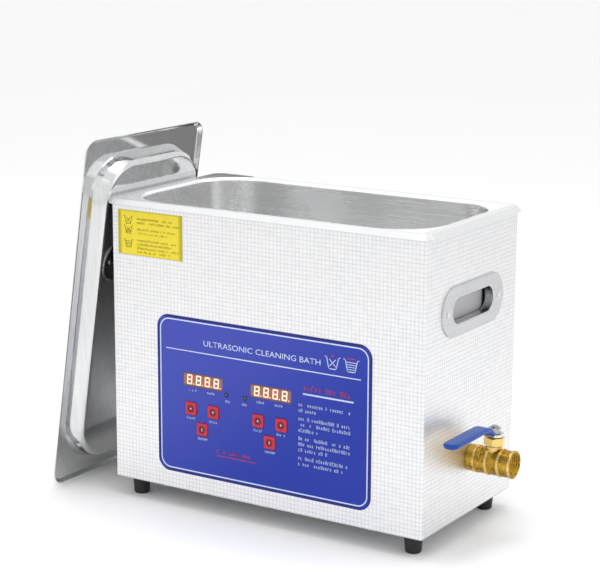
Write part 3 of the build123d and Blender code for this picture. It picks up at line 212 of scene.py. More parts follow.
class Grain(Enum):
    """Which way a sheet's polishing lines run, as the scale of the streaks along X, Y and Z."""

    ALONG_X = (5.0, 620.0, 620.0)
    ALONG_Y = (620.0, 5.0, 620.0)
    ALONG_Z = (620.0, 620.0, 5.0)
    NONE = (160.0, 160.0, 160.0)


@dataclass(frozen=True)
class Metal:
    """Bare metal: fine polishing lines, soft smudges and a slight change of tone."""

    name: str
    tone: Colour
    roughness: float
    grain: Grain = Grain.NONE
    streaks: float = 0.08
    smudges: float = 0.06
    relief: float = 0.000004

    def material(self) -> bpy.types.Material:
        """Makes the material: streaks drive roughness, relief and a little of the tone."""
        sheet = Sheet(self.name)
        streak = sheet.noise(sheet.place(scale=self.grain.value), 1.0, 3.0)
        smudge = sheet.noise(sheet.place(), 16.0, 4.0)
        dark = tuple(0.86 * c for c in self.tone)
        shade = (streak * 0.6 + smudge * 0.5).ramp(0.35, 0.75)
        rough = (streak - 0.5) * self.streaks + (smudge - 0.5) * self.smudges + self.roughness
        return sheet.dress(
            Base_Color=sheet.mix(shade, dark, self.tone),
            Metallic=1.0,
            Roughness=rough,
            Normal=sheet.bump(streak, self.relief),
        )


@dataclass(frozen=True)
class DrawnSteel:
    """Deep-drawn sheet: bright and brushed inside the tank, dull on its outer walls, which turn to a
    near-black painted shade past flat_half in y.
    """

    name: str
    inside: Colour = (0.985, 0.987, 0.99)
    rim: Colour = (0.80, 0.805, 0.815)
    outside: Colour = (0.5, 0.5, 0.51)
    # painted shade colour for the outer walls' far corners
    painted_corner_shade: Colour = (0.02, 0.02, 0.021)
    flat_half: float = 0.031
    half_x: float = 0.1504
    half_y: float = 0.0779
    rim_z: float = 0.271

    def material(self) -> bpy.types.Material:
        """Makes the material: points beyond the inner walls and below the rim are outside."""
        sheet = Sheet(self.name)
        x, y, z = sheet.axes(sheet.place())
        beyond = (abs(x) - self.half_x).most(abs(y) - self.half_y).ramp(0.0, 0.0001)
        on_rim = (abs(x) - self.half_x).most(abs(y) - self.half_y).ramp(0.002, 0.004)
        # painted shade: past flat_half in y the outer walls darken to near black, standing in for the shade
        # at the tank's far corners
        scale = abs(y).ramp(self.flat_half, self.flat_half + 0.005)
        outer = beyond * (1.0 - z.ramp(self.rim_z - 0.001, self.rim_z))
        streak = sheet.noise(sheet.place(scale=Grain.ALONG_X.value), 1.0, 3.0)
        smudge = sheet.noise(sheet.place(), 14.0, 4.0)
        dark = tuple(0.95 * c for c in self.inside)
        bright = sheet.mix((streak * 0.5 + smudge * 0.6).ramp(0.35, 0.8), dark, self.inside)
        above = sheet.mix(on_rim, bright, self.rim)
        below = sheet.mix(scale, self.outside, self.painted_corner_shade)
        return sheet.dress(
            Base_Color=sheet.mix(outer, above, below),
            Metallic=1.0,
            Roughness=0.27 + (streak - 0.5) * 0.1 + (smudge - 0.5) * 0.08 + outer * 0.3,
            Normal=sheet.bump(streak, 0.000004),
        )


@dataclass(frozen=True)
class LinenSteel:
    """Stainless sheet rolled with a grid of small square pillows divided by fine grooves, which carry
    painted shade.
    """

    name: str
    tone: Colour
    # painted shade colour in the grooves
    groove_shade: Colour
    pitch: float = 3.7
    depth: float = 0.09
    roughness: float = 0.38

    def material(self) -> bpy.types.Material:
        """Makes the material: x + y runs round the case's corner, so the grid meets there."""
        sheet = Sheet(self.name)
        x, y, z = sheet.axes(sheet.place())
        across = (x + y) / (self.pitch * MM)
        up = z / (self.pitch * MM)
        beside = abs(across.fraction() - 0.5) * 2.0
        above = abs(up.fraction() - 0.5) * 2.0
        groove = beside.most(above) ** 4.0
        cell = sheet.node("ShaderNodeCombineXYZ", {"X": across.whole(), "Y": up.whole()})
        chance = sheet.node("ShaderNodeTexWhiteNoise", {"Vector": cell}, "Value")
        weft = sheet.noise(sheet.place(scale=(1.0, 1.0, 14.0)), 70.0, 2.0)
        warp = sheet.noise(sheet.place(scale=(14.0, 14.0, 1.0)), 70.0, 2.0)
        thread = (weft + warp) * 0.5
        # painted shade: the groove term darkens the colour in the grooves; the cell and thread terms are the
        # sheet's own tone
        shade = (groove * 0.5 + chance * 0.1 + thread * 0.55 - 0.2).ramp(0.0, 1.0)
        return sheet.dress(
            Base_Color=sheet.mix(shade, self.tone, self.groove_shade),
            Metallic=1.0,
            Roughness=self.roughness + (thread - 0.5) * 0.2 + groove * 0.1,
            Normal=sheet.bump((1.0 - groove) + thread * 0.35, self.depth * MM),
        )


@dataclass(frozen=True)
class Moulded:
    """Moulded or dipped plastic, rubber or ceramic: an even colour with a fine skin."""

    name: str
    tone: Colour
    roughness: float = 0.45
    coat: float = 0.0
    skin: float = 2600.0
    relief: float = 0.00002
    mottle: float = 0.12
    shine: float = 0.5

    def material(self) -> bpy.types.Material:
        """Makes the material: skin noise for relief and gloss, and slow mottling for tone."""
        sheet = Sheet(self.name)
        skin = sheet.noise(sheet.place(), self.skin, 2.0)
        slow = sheet.noise(sheet.place(), 45.0, 3.0)
        dark = tuple(c * (1.0 - 2.0 * self.mottle) for c in self.tone)
        return sheet.dress(
            Base_Color=sheet.mix(slow.ramp(0.25, 0.75), dark, self.tone),
            Roughness=self.roughness + (skin - 0.5) * 0.12 + (slow - 0.5) * 0.1,
            Specular_IOR_Level=self.shine,
            Coat_Weight=self.coat,
            Coat_Roughness=0.06,
            Normal=sheet.bump(skin, self.relief),
        )


@dataclass(frozen=True)
class CastBrass:
    """Golden brass, partly turned and partly as cast, darker where the casting is rough, with a painted
    highlight on its ring crests.
    """

    name: str
    tone: Colour = (0.60, 0.36, 0.05)
    dark: Colour = (0.15, 0.085, 0.008)
    # painted highlight colour for the ring crests
    crest: Colour = (0.98, 0.72, 0.28)
    axis_y: float = 0.003
    axis_z: float = 0.0678
    crest_radius: float = 0.01185
    roughness: float = 0.22
    turned_pitch: float = 0.45

    def material(self) -> bpy.types.Material:
        """Makes the material: rings at the turning pitch, pits from two sizes of noise, and a painted
        highlight past crest_radius from the axis.
        """
        sheet = Sheet(self.name)
        x, y, z = sheet.axes(sheet.place((0.0, self.axis_y, self.axis_z)))
        ring = abs((x / (self.turned_pitch * MM)).fraction() - 0.5) * 2.0
        crest = (y * y + z * z) ** 0.5 - self.crest_radius
        coarse = sheet.noise(sheet.place(), 900.0, 3.0)
        broad = sheet.noise(sheet.place(), 130.0, 3.0)
        pits = coarse.ramp(0.42, 0.72)
        shade = (pits * 0.5 + broad.ramp(0.3, 0.75) * 0.6).ramp(0.1, 1.0)
        body = sheet.mix(shade, self.tone, self.dark)
        return sheet.dress(
            # painted highlight: past crest_radius from the valve's axis the colour goes 70% of the way to
            # the crest colour
            Base_Color=sheet.mix(crest.ramp(0.0, 0.0004) * 0.7, body, self.crest),
            Metallic=1.0,
            Roughness=self.roughness + (coarse - 0.5) * 0.3,
            Normal=sheet.bump(ring * 0.35 + pits, 0.00006),
        )


@dataclass(frozen=True)
class PanelFilm:
    """The control panel's printed film: royal blue, paler at the top left, in a darker border."""

    name: str
    low: tuple[float, float, float]
    high: tuple[float, float, float]
    border: float = 2.6
    pale: Colour = (0.055, 0.075, 0.42)
    deep: Colour = (0.018, 0.038, 0.35)
    edge: Colour = (0.022, 0.024, 0.19)

    def material(self) -> bpy.types.Material:
        """Makes the material: distance to the film's nearest edge marks the border."""
        sheet = Sheet(self.name)
        centre = [(a + b) / 2 for a, b in zip(self.low, self.high)]
        half_x, _, half_z = [(b - a) / 2 for a, b in zip(self.low, self.high)]
        x, _, z = sheet.axes(sheet.place(centre))
        inset = 1.0 - (abs(x) + (self.border * MM - half_x)).most(
            abs(z) + (self.border * MM - half_z)
        ).ramp(0.0, 0.0004)
        slope = ((x * -1.0 + z * 1.3) / (2.0 * half_x) + 0.5).ramp(0.0, 1.15)
        face = sheet.mix(slope, self.deep, self.pale)
        peel = sheet.noise(sheet.place(), 420.0, 2.0)
        return sheet.dress(
            Base_Color=sheet.mix(inset, self.edge, face),
            Specular_IOR_Level=0.2,
            Roughness=0.36 + (peel - 0.5) * 0.12,
            Normal=sheet.bump(peel, 0.00002),
        )


@dataclass(frozen=True)
class LabelFilm:
    """A yellow printed label: mottled ink, with a band of olive along its two ends."""

    name: str
    low: tuple[float, float, float]
    high: tuple[float, float, float]
    ink: Colour = (0.83, 0.68, 0.045)
    olive: Colour = (0.42, 0.36, 0.012)

    def material(self) -> bpy.types.Material:
        """Makes the material: the olive grows with distance from the label's middle."""
        sheet = Sheet(self.name)
        centre = [(a + b) / 2 for a, b in zip(self.low, self.high)]
        half_x, _, half_z = [(b - a) / 2 for a, b in zip(self.low, self.high)]
        x, _, z = sheet.axes(sheet.place(centre))
        ends = abs(x).ramp(half_x - 0.0055, half_x - 0.0015)
        sides = abs(z).ramp(half_z - 0.0016, half_z)
        blotch = sheet.noise(sheet.place(), 260.0, 4.0)
        shade = (ends * 0.62).most(sides * 0.5) + blotch * 0.35
        return sheet.dress(
            Base_Color=sheet.mix(shade.ramp(0.05, 1.0), self.ink, self.olive),
            Specular_IOR_Level=0.25,
            Roughness=0.42 + (blotch - 0.5) * 0.15,
            Normal=sheet.bump(blotch, 0.00002),
        )


@dataclass(frozen=True)
class PrintedInk:
    """Screen-printed ink, slightly uneven."""

    name: str
    tone: Colour
    glow: float = 0.0

    def material(self) -> bpy.types.Material:
        """Makes the material, lit from behind where glow is above zero."""
        sheet = Sheet(self.name)
        speck = sheet.noise(sheet.place(), 1500.0, 2.0)
        thin = tuple(0.8 * c for c in self.tone)
        ink = sheet.mix(speck.ramp(0.3, 0.7), thin, self.tone)
        lit = {"Emission_Color": ink} if self.glow else {}
        return sheet.dress(Base_Color=ink, Roughness=0.5, Emission_Strength=self.glow, **lit)


@dataclass(frozen=True)
class KeyCapPlastic:
    """Crimson key plastic, deeper in the round dish; reads the cap's own dish attribute."""

    name: str
    rim: Colour = (0.50, 0.022, 0.05)
    dish: Colour = (0.16, 0.004, 0.012)

    def material(self) -> bpy.types.Material:
        """Makes the material."""
        sheet = Sheet(self.name)
        depth = sheet.node("ShaderNodeAttribute", {}, "Fac", attribute_name="dish")
        skin = sheet.noise(sheet.place(), 2200.0, 2.0)
        return sheet.dress(
            Base_Color=sheet.mix(depth.ramp(0.1, 0.9), self.rim, self.dish),
            Specular_IOR_Level=0.35,
            Roughness=0.28 + (skin - 0.5) * 0.1,
            Normal=sheet.bump(skin, 0.00001),
        )


@dataclass(frozen=True)
class SmokedWindow:
    """A brown display window, warm where the digits behind it light it."""

    name: str
    centre: tuple[float, float, float]
    half_height: float

    def material(self) -> bpy.types.Material:
        """Makes the material: the glow fades from the digits' row to the window's edge."""
        sheet = Sheet(self.name)
        _, _, z = sheet.axes(sheet.place(self.centre))
        row = 1.0 - abs(z).ramp(self.half_height * 0.55, self.half_height)
        haze = sheet.noise(sheet.place(), 300.0, 2.0)
        lit = (row * 0.75 + haze * 0.35).ramp(0.1, 1.1)
        return sheet.dress(
            Base_Color=sheet.mix(lit, (0.1, 0.045, 0.04), (0.17, 0.075, 0.05)),
            Emission_Color=sheet.mix(lit, (0.02, 0.008, 0.006), (0.16, 0.06, 0.035)),
            Emission_Strength=0.7,
            Roughness=0.22 + (haze - 0.5) * 0.08,
            Coat_Weight=0.5,
            Coat_Roughness=0.08,
        )


@dataclass(frozen=True)
class Laminate:
    """Green circuit board with a net of copper tracks under its varnish."""

    name: str

    def material(self) -> bpy.types.Material:
        """Makes the material: track edges come from the distance between random cells."""
        sheet = Sheet(self.name)
        wanted = {"Vector": sheet.place(), "Scale": 160.0}
        cells = sheet.node(
            "ShaderNodeTexVoronoi", wanted, "Distance", distance="MANHATTAN", feature="F1"
        )
        track = abs((cells * 5.0).fraction() - 0.5).ramp(0.28, 0.36)
        return sheet.dress(
            Base_Color=sheet.mix(track, (0.012, 0.11, 0.04), (0.05, 0.26, 0.08)),
            Roughness=0.35 + track * 0.1,
            Coat_Weight=0.3,
            Normal=sheet.bump(track, 0.00003),
        )


@dataclass(frozen=True)
class Wrapped:
    """Silicone mat, tape or winding: bands across it and a fine weave."""

    name: str
    tone: Colour
    band: Colour
    pitch: float = 6.0

    def material(self) -> bpy.types.Material:
        """Makes the material: bands at the pitch along z, crossed by a woven skin."""
        sheet = Sheet(self.name)
        _, _, z = sheet.axes(sheet.place())
        stripe = abs((z / (self.pitch * MM)).fraction() - 0.5).ramp(0.3, 0.42)
        weave = sheet.node(
            "ShaderNodeTexWave", {"Vector": sheet.place(), "Scale": 600.0}, "Fac",
            bands_direction="DIAGONAL",
        )
        return sheet.dress(
            Base_Color=sheet.mix(stripe, self.tone, self.band),
            Roughness=0.55 + (weave - 0.5) * 0.15,
            Normal=sheet.bump(stripe + weave * 0.3, 0.00008),
        )


Finish = Union[
    Metal, DrawnSteel, LinenSteel, Moulded, CastBrass, PanelFilm, LabelFilm, PrintedInk, KeyCapPlastic,
    SmokedWindow, Laminate, Wrapped,
]


@functools.cache
def material_of(finish: Finish) -> bpy.types.Material:
    """The material of a finish, made once."""
    return finish.material()


CASE_SHEET = LinenSteel("linen_steel", (0.86, 0.862, 0.87), (0.56, 0.565, 0.58))
LID_SHEET = Metal("lid_polished", (0.74, 0.745, 0.75), 0.1, Grain.ALONG_Z, 0.04, 0.06)
TANK_SHEET = DrawnSteel("tank_polished")
GRIP_SHEET = Metal("grip_satin", (0.60, 0.605, 0.615), 0.26, Grain.ALONG_Y, 0.1, 0.05)
SATIN = Metal("satin_steel", (0.62, 0.63, 0.64), 0.32)
PLATED = Metal("plated_steel", (0.74, 0.74, 0.75), 0.16)
CHROME = Metal("dark_chrome", (0.42, 0.41, 0.40), 0.09)
ALUMINIUM = Metal("turned_aluminium", (0.80, 0.80, 0.81), 0.35, Grain.NONE)
COPPER = Metal("copper_foil", (0.90, 0.50, 0.32), 0.25)
BRASS = CastBrass("brass")
PLUMBING_BRASS = Metal("plumbing_brass", (0.76, 0.55, 0.2), 0.25)
FOOT_RUBBER = Moulded("foot_rubber", (0.012, 0.012, 0.012), 0.62, skin=900.0, relief=0.00005)
SEAL_RUBBER = Moulded("seal_rubber", (0.3, 0.3, 0.3), 0.6)
BLACK = Moulded("black_moulding", (0.02, 0.02, 0.021), 0.42, skin=1500.0)
SEAT_WHITE = Moulded("seat_white", (0.86, 0.86, 0.84), 0.5)
ROCKER_RED = Moulded("rocker_red", (0.55, 0.02, 0.02), 0.25, coat=0.5)
LEVER_BLUE = Moulded("dipped_blue", (0.002, 0.062, 0.36), 0.25, 0.0, 500.0, 0.00003, 0.1, 0.32)
LAMP_LENS = Moulded("lamp_lens", (0.02, 0.03, 0.12), 0.12, coat=1.0, relief=0.000002)
PIEZO = Moulded("sintered_ceramic", (0.5, 0.48, 0.44), 0.6, relief=0.00006)
CAN_SLEEVE = Moulded("can_sleeve", (0.06, 0.08, 0.3), 0.35)
WHITE_INK = PrintedInk("white_ink", (0.66, 0.76, 0.98))
RED_INK = PrintedInk("red_ink", (0.52, 0.03, 0.07))
OLIVE_INK = PrintedInk("olive_ink", (0.28, 0.22, 0.02))
SEGMENT_CORE = PrintedInk("segment_core", (1.0, 0.66, 0.52), 0.9)
SEGMENT_HALO = PrintedInk("segment_halo", (0.62, 0.2, 0.1), 0.35)


# ---- Shapes --------------------------------------------------------------------------------------


def band_faces(rows: int, columns: int, close_rows: bool = False, close_columns: bool = True) -> np.ndarray:
    """The four-cornered faces between neighbouring points of a grid numbered row by row.

    Args:
        rows: how many rows of points.
        columns: how many points in a row.
        close_rows: whether the last row joins the first.
        close_columns: whether each row is a ring.

    Returns:
        Point numbers, four to a face.
    """
    row = np.arange(rows if close_rows else rows - 1)[:, None]
    column = np.arange(columns if close_columns else columns - 1)[None, :]
    after, beside = (row + 1) % rows, (column + 1) % columns
    corners = [
        row * columns + column, row * columns + beside, after * columns + beside, after * columns + column
    ]
    return np.stack(np.broadcast_arrays(*corners), -1).reshape(-1, 4)


def make_piece(
    name: str,
    points: np.ndarray,
    faces: Sequence[Sequence[int]] | np.ndarray,
    finish: Finish,
    body: str,
    closed: bool = True,
    sharp: float = 32.0,
) -> bpy.types.Object:
    """Makes a mesh piece, merges its doubles, turns closed shells outwards and mounts it.

    Args:
        name: the piece's name.
        points: its points, in metres.
        faces: point numbers of each face.
        finish: what it is made of.
        body: the CAD body that it rides on.
        closed: whether it is a closed shell.
        sharp: edges bent by more degrees than this stay crisp.

    Returns:
        The piece.
    """
    mesh = bpy.data.meshes.new(name)
    listed = faces.tolist() if isinstance(faces, np.ndarray) else faces
    mesh.from_pydata(points.reshape(-1, 3).tolist(), [], listed)
    work = bmesh.new()
    work.from_mesh(mesh)
    bmesh.ops.remove_doubles(work, verts=work.verts, dist=1e-7)
    if closed:
        bmesh.ops.recalc_face_normals(work, faces=work.faces)
    work.to_mesh(mesh)
    work.free()
    mesh.shade_smooth()
    mesh.set_sharp_from_angle(angle=math.radians(sharp))
    mesh.materials.append(material_of(finish))
    piece = bpy.data.objects.new(name, mesh)
    bpy.context.scene.collection.objects.link(piece)
    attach(piece, body)
    LOG.info("piece %s on %s, %d faces", name, body, len(mesh.polygons))
    return piece


def dress_nodes(finishes: Mapping[str, Finish]) -> None:
    """Gives CAD nodes their materials.

    Args:
        finishes: the finish of each node, by name.
    """
    for node, finish in finishes.items():
        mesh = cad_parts[node].data
        mesh.materials.clear()
        mesh.materials.append(material_of(finish))
        LOG.info("node %s dressed as %s", node, finish.name)


def middle_of(node: str) -> np.ndarray:
    """The middle of a CAD node's box, in metres."""
    low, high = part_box(node)
    return np.array((low + high) / 2)


def turned(profile: np.ndarray, steps: int = 96) -> np.ndarray:
    """A closed profile turned about the local z axis: x = r cos a, y = r sin a, z as given.

    Args:
        profile: pairs of radius and height, in millimetres.
        steps: points round a turn.

    Returns:
        A grid of points, one row for each profile pair, in millimetres.
    """
    angle = np.linspace(0.0, 2.0 * np.pi, steps, endpoint=False)
    radius, height = profile[:, 0, None], profile[:, 1, None]
    return np.stack(
        np.broadcast_arrays(radius * np.cos(angle), radius * np.sin(angle), height), -1
    )


def aim(points: np.ndarray, origin: np.ndarray, axis: str) -> np.ndarray:
    """Stands local points, in millimetres, at an origin in metres with local z along an axis.

    Args:
        points: the local points.
        origin: where local zero goes.
        axis: "X", "Y" or "Z".

    Returns:
        The points in the row frame, in metres.
    """
    order = {"X": (2, 0, 1), "Y": (1, 2, 0), "Z": (0, 1, 2)}[axis]
    return points[..., order] * MM + origin


def rounded_ring(half: float, corner: float, steps: int = 12) -> np.ndarray:
    """A square ring with round corners: each quarter is an arc about its own corner centre.

    Args:
        half: half the width.
        corner: the corners' radius; equal to half, it makes a circle.
        steps: points to a corner.

    Returns:
        Its points in order.
    """
    quarter = np.repeat(np.arange(4) * np.pi / 2, steps)
    angle = quarter + np.tile(np.linspace(0.0, np.pi / 2, steps), 4)
    lean = quarter + np.pi / 4
    shift = (half - corner) * np.sqrt(2)
    x = shift * np.cos(lean) + corner * np.cos(angle)
    y = shift * np.sin(lean) + corner * np.sin(angle)
    return np.stack([x, y], -1)


def hex_nut(flats: float, bottom: float, top: float, bore: float, turn: float = 0.0) -> np.ndarray:
    """A hexagon nut whose corners are cut by a 30 degree cone at both ends.

    The side's radius at angle a is half the flats over cos(a folded into one sixth), and its ends
    drop by the radius past the flats times tan 30 degrees.

    Args:
        flats: the width across the flats.
        bottom: height of its lower face.
        top: height of its upper face.
        bore: radius of its hole.
        turn: turn about its axis, in degrees.

    Returns:
        A closed grid of rings, in millimetres.
    """
    angle = np.linspace(0.0, 2.0 * np.pi, 120, endpoint=False)
    folded = np.mod(angle, np.pi / 3) - np.pi / 6
    side = flats / 2 / np.cos(folded)
    seat = np.full_like(side, flats / 2 * 0.96)
    drop = (side - seat) * np.tan(np.radians(30.0))
    inner = np.full_like(side, bore)
    radii = np.stack([inner, seat, side, side, seat, inner])
    level = np.ones_like(side)
    heights = np.stack(
        [bottom * level, bottom * level, bottom + drop, top - drop, top * level, top * level]
    )
    swung = angle + np.radians(turn)
    return np.stack([radii * np.cos(swung), radii * np.sin(swung), heights], -1)


def eased_path(corners: np.ndarray, ease: float, steps: int = 8) -> np.ndarray:
    """A line through corners, each corner replaced by a quadratic curve that starts ease before it.

    Args:
        corners: the line's corner points.
        ease: how far from each corner its curve starts and ends.
        steps: points on each curve.

    Returns:
        The line's points.
    """
    share = np.linspace(0.0, 1.0, steps)[:, None]
    parts = [corners[:1]]
    for before, corner, after in zip(corners[:-2], corners[1:-1], corners[2:]):
        start = corner + (before - corner) / np.linalg.norm(before - corner) * ease
        end = corner + (after - corner) / np.linalg.norm(after - corner) * ease
        parts.append(start * (1 - share) ** 2 + corner * 2 * share * (1 - share) + end * share**2)
    return np.concatenate([*parts, corners[-1:]])


# ---- Print ---------------------------------------------------------------------------------------


class Print:
    """Flat printed artwork, drawn in x and z millimetres and laid on a face that looks to -Y."""

    GLYPH = np.array(
        [
            [0.0, 0.0, 0.0, 1.0], [0.72, 0.0, 0.72, 1.0], [0.0, 1.0, 0.72, 1.0],
            [0.0, 0.5, 0.72, 0.5], [0.0, 0.0, 0.72, 0.0],
        ]
    )

    def __init__(self) -> None:
        """Starts with nothing drawn."""
        self.points: list[np.ndarray] = []
        self.faces: list[tuple[int, ...]] = []
        self.count = 0

    def add(self, points: np.ndarray, faces: Sequence[Sequence[int]]) -> None:
        """Adds a shape's points and faces to the drawing."""
        self.points.append(points)
        self.faces += [tuple(self.count + i for i in face) for face in faces]
        self.count += len(points)

    def lines(self, ends: np.ndarray, width: float) -> None:
        """Draws straight strokes: each is a rectangle round its line, longer by half its width.

        Args:
            ends: x and z of both ends of each stroke, one stroke to a row.
            width: the strokes' width.
        """
        start, stop = ends[:, :2], ends[:, 2:]
        along = (stop - start) / np.maximum(np.linalg.norm(stop - start, axis=1, keepdims=True), 1e-9)
        across = np.stack([along[:, 1], -along[:, 0]], -1) * width / 2
        reach = along * width / 2
        quads = np.stack(
            [start - reach + across, stop + reach + across, stop + reach - across, start - reach - across], 1
        )
        turn = np.cross(quads[:, 1] - quads[:, 0], quads[:, 2] - quads[:, 0]) < 0
        quads[turn] = quads[turn][:, ::-1]
        numbers = np.arange(len(quads) * 4).reshape(-1, 4)
        self.add(quads.reshape(-1, 2), numbers.tolist())

    def outline(self, corners: Sequence[tuple[float, float]], width: float) -> None:
        """Draws a run of strokes through corner points."""
        run = np.array(corners)
        self.lines(np.concatenate([run[:-1], run[1:]], 1), width)

    def frame_line(self, half_x: float, half_z: float, middle_z: float, corner: float, width: float) -> None:
        """Draws a closed rectangular line with round corners, as a band between two rings.

        Args:
            half_x: half its width, to the line's middle.
            half_z: half its height.
            middle_z: the height of its middle.
            corner: its corners' radius.
            width: the line's width.
        """
        ring = rounded_ring(corner, corner, 10)
        sign = np.repeat(np.array([[1, 1], [-1, 1], [-1, -1], [1, -1]]), 10, axis=0)
        middle = sign * np.array([half_x - corner, half_z - corner]) + np.array([0.0, middle_z])
        rings = [middle + ring * (1 + side * width / 2 / corner) for side in (-1, 1)]
        count = len(ring)
        faces = band_faces(2, count)[:, ::-1]
        self.add(np.concatenate(rings), faces.tolist())

    def greek(self, left: float, right: float, base: float, height: float, seed: int) -> None:
        """Draws a line of made-up letters that say nothing: random strokes of a squared figure.

        Args:
            left: where the line starts.
            right: where it ends.
            base: the height of its foot.
            height: how tall its letters are.
            seed: which line it is.
        """
        chance = np.random.default_rng(seed)
        advance = height * 0.82
        places = left + np.arange(int((right - left) / advance)) * advance
        inked = places[chance.random(len(places)) > 0.16]
        size = height * np.where(chance.random(len(inked)) > 0.3, 0.72, 1.0)
        strokes = self.GLYPH[None] * np.stack([size * 0.62, size, size * 0.62, size], -1)[:, None]
        strokes = strokes + np.stack([inked, inked * 0 + base, inked, inked * 0 + base], -1)[:, None]
        kept = chance.random((len(inked), len(self.GLYPH))) < 0.66
        kept[:, 0] = True
        self.lines(strokes[kept], height * 0.15)

    def words(self, text: str, x: float, base: float, height: float, width: float | None = None) -> None:
        """Draws plain words, set to a cap height and, where it is given, to a width.

        Args:
            text: the words.
            x: the middle of the line.
            base: the height of its foot.
            height: the capitals' height.
            width: how wide the line is.
        """
        curve = bpy.data.curves.new("words", "FONT")
        curve.body = text
        curve.resolution_u = 3
        holder = bpy.data.objects.new("words", curve)
        mesh = bpy.data.meshes.new_from_object(holder)
        flat = np.zeros(len(mesh.vertices) * 3, np.float32)
        mesh.vertices.foreach_get("co", flat)
        flat = flat.reshape(-1, 3)[:, :2].astype(float)
        span = flat.max(0) - flat.min(0)
        grow = np.array([width / span[0] if width else height / span[1], height / span[1]])
        placed = (flat - (flat.min(0) + flat.max(0)) / 2) * grow + np.array([x, base + height / 2])
        self.add(placed, [tuple(p.vertices) for p in mesh.polygons])
        bpy.data.objects.remove(holder)
        bpy.data.curves.remove(curve)
        bpy.data.meshes.remove(mesh)

    def basket(self, x: float, z: float, size: float, width: float, waves: int, crossed: bool) -> None:
        """Draws a tank sign: a tapered tub with flared ears, empty and crossed or filled.

        Args:
            x: its middle.
            z: its middle height.
            size: its width.
            width: the strokes' width.
            waves: how many lines of liquid it holds.
            crossed: whether it is struck out.
        """
        half, foot, top = size / 2, z - size * 0.36, z + size * 0.36
        self.outline(
            [(x - half, top), (x - half * 0.82, top), (x - half * 0.5, foot), (x + half * 0.5, foot),
             (x + half * 0.82, top), (x + half, top)], width,
        )
        if crossed:
            reach = size * 0.2
            left, right, low, high = x - reach, x + reach, z - reach, z + reach
            self.lines(np.array([[left, low, right, high], [left, high, right, low]]), width)
        level = z - size * 0.22 + np.arange(waves) * size * 0.14
        reach = size * 0.26 + 0.02 * size * np.arange(waves)
        if waves:
            self.lines(np.stack([x - reach, level, x + reach, level], -1), width * 0.8)

    def piece(
        self, name: str, y: float, finish: Finish, body: str, slot: str, film: float = 0.03
    ) -> bpy.types.Object:
        """Makes the drawing a thin film on a face.

        Args:
            name: the piece's name.
            y: the face that it lies on, in metres.
            finish: its ink.
            body: the CAD body that it rides on.
            slot: not used.
            film: the film's thickness, in millimetres.

        Returns:
            The piece.
        """
        flat = np.concatenate(self.points) * MM
        points = np.stack([flat[:, 0], np.full(len(flat), y - 0.00001), flat[:, 1]], -1)
        made = make_piece(name, points, self.faces, finish, body, closed=False)
        wall = made.modifiers.new("film", "SOLIDIFY")
        wall.thickness = film * MM
        wall.offset = 1.0
        return made


# ---- Sub-assemblies ------------------------------------------------------------------------------


@dataclass
class CaseShell:
    """The folded case with its rear panel, base, screws and feet."""

    def dress(self) -> None:
        """Dresses the sheet parts and what fastens them."""
        dress_nodes(
            {
                "case_wrap": CASE_SHEET,
                "rear_panel": CASE_SHEET,
                "base_plate": SATIN,
                "feet": FOOT_RUBBER,
                "underside_screws": PLATED,
                "rear_screws": PLATED,
            }
        )


@dataclass
class TankUnit:
    """The deep-drawn tank, its rim seal and the drain line under it."""

    def dress(self) -> None:
        """Dresses the tank and its plumbing."""
        dress_nodes(
            {
                "tank": TANK_SHEET,
                "tank_rim_seal": SEAL_RUBBER,
                "drain_spud": SATIN,
                "drain_spud_nut": PLUMBING_BRASS,
                "drain_elbow": PLUMBING_BRASS,
                "drain_nipple": PLUMBING_BRASS,
                "drain_locknut": PLUMBING_BRASS,
            }
        )


@dataclass
class HandGrips:
    """The two pressed grips with their rivets."""

    def dress(self) -> None:
        """Dresses the grips."""
        dress_nodes(
            {"hand_grip_left": GRIP_SHEET, "hand_grip_right": GRIP_SHEET, "grip_rivets": PLATED}
        )


@dataclass
class Transducers:
    """The bolted transducer stacks, the heating pads and the thermostat."""

    def dress(self) -> None:
        """Dresses the stacks and the pads."""
        heater = Wrapped("heater_mat", (0.6, 0.16, 0.05), (0.3, 0.07, 0.03))
        dress_nodes(
            {
                "transducer_front_masses": ALUMINIUM,
                "piezo_rings": PIEZO,
                "electrodes": COPPER,
                "tail_masses": SATIN,
                "transducer_bolts": PLATED,
                "heater_pad_front": heater,
                "heater_pad_rear": heater,
                "thermostat": BLACK,
            }
        )


@dataclass
class Generator:
    """The ultrasonic generator's board and its heavy parts."""

    def dress(self) -> None:
        """Dresses the board."""
        winding = Wrapped("taped_winding", (0.72, 0.52, 0.08), (0.5, 0.33, 0.05), 4.0)
        dress_nodes(
            {
                "generator_board": Laminate("board_laminate"),
                "board_standoffs": PLATED,
                "transformer": winding,
                "heatsink": ALUMINIUM,
                "capacitors": CAN_SLEEVE,
            }
        )


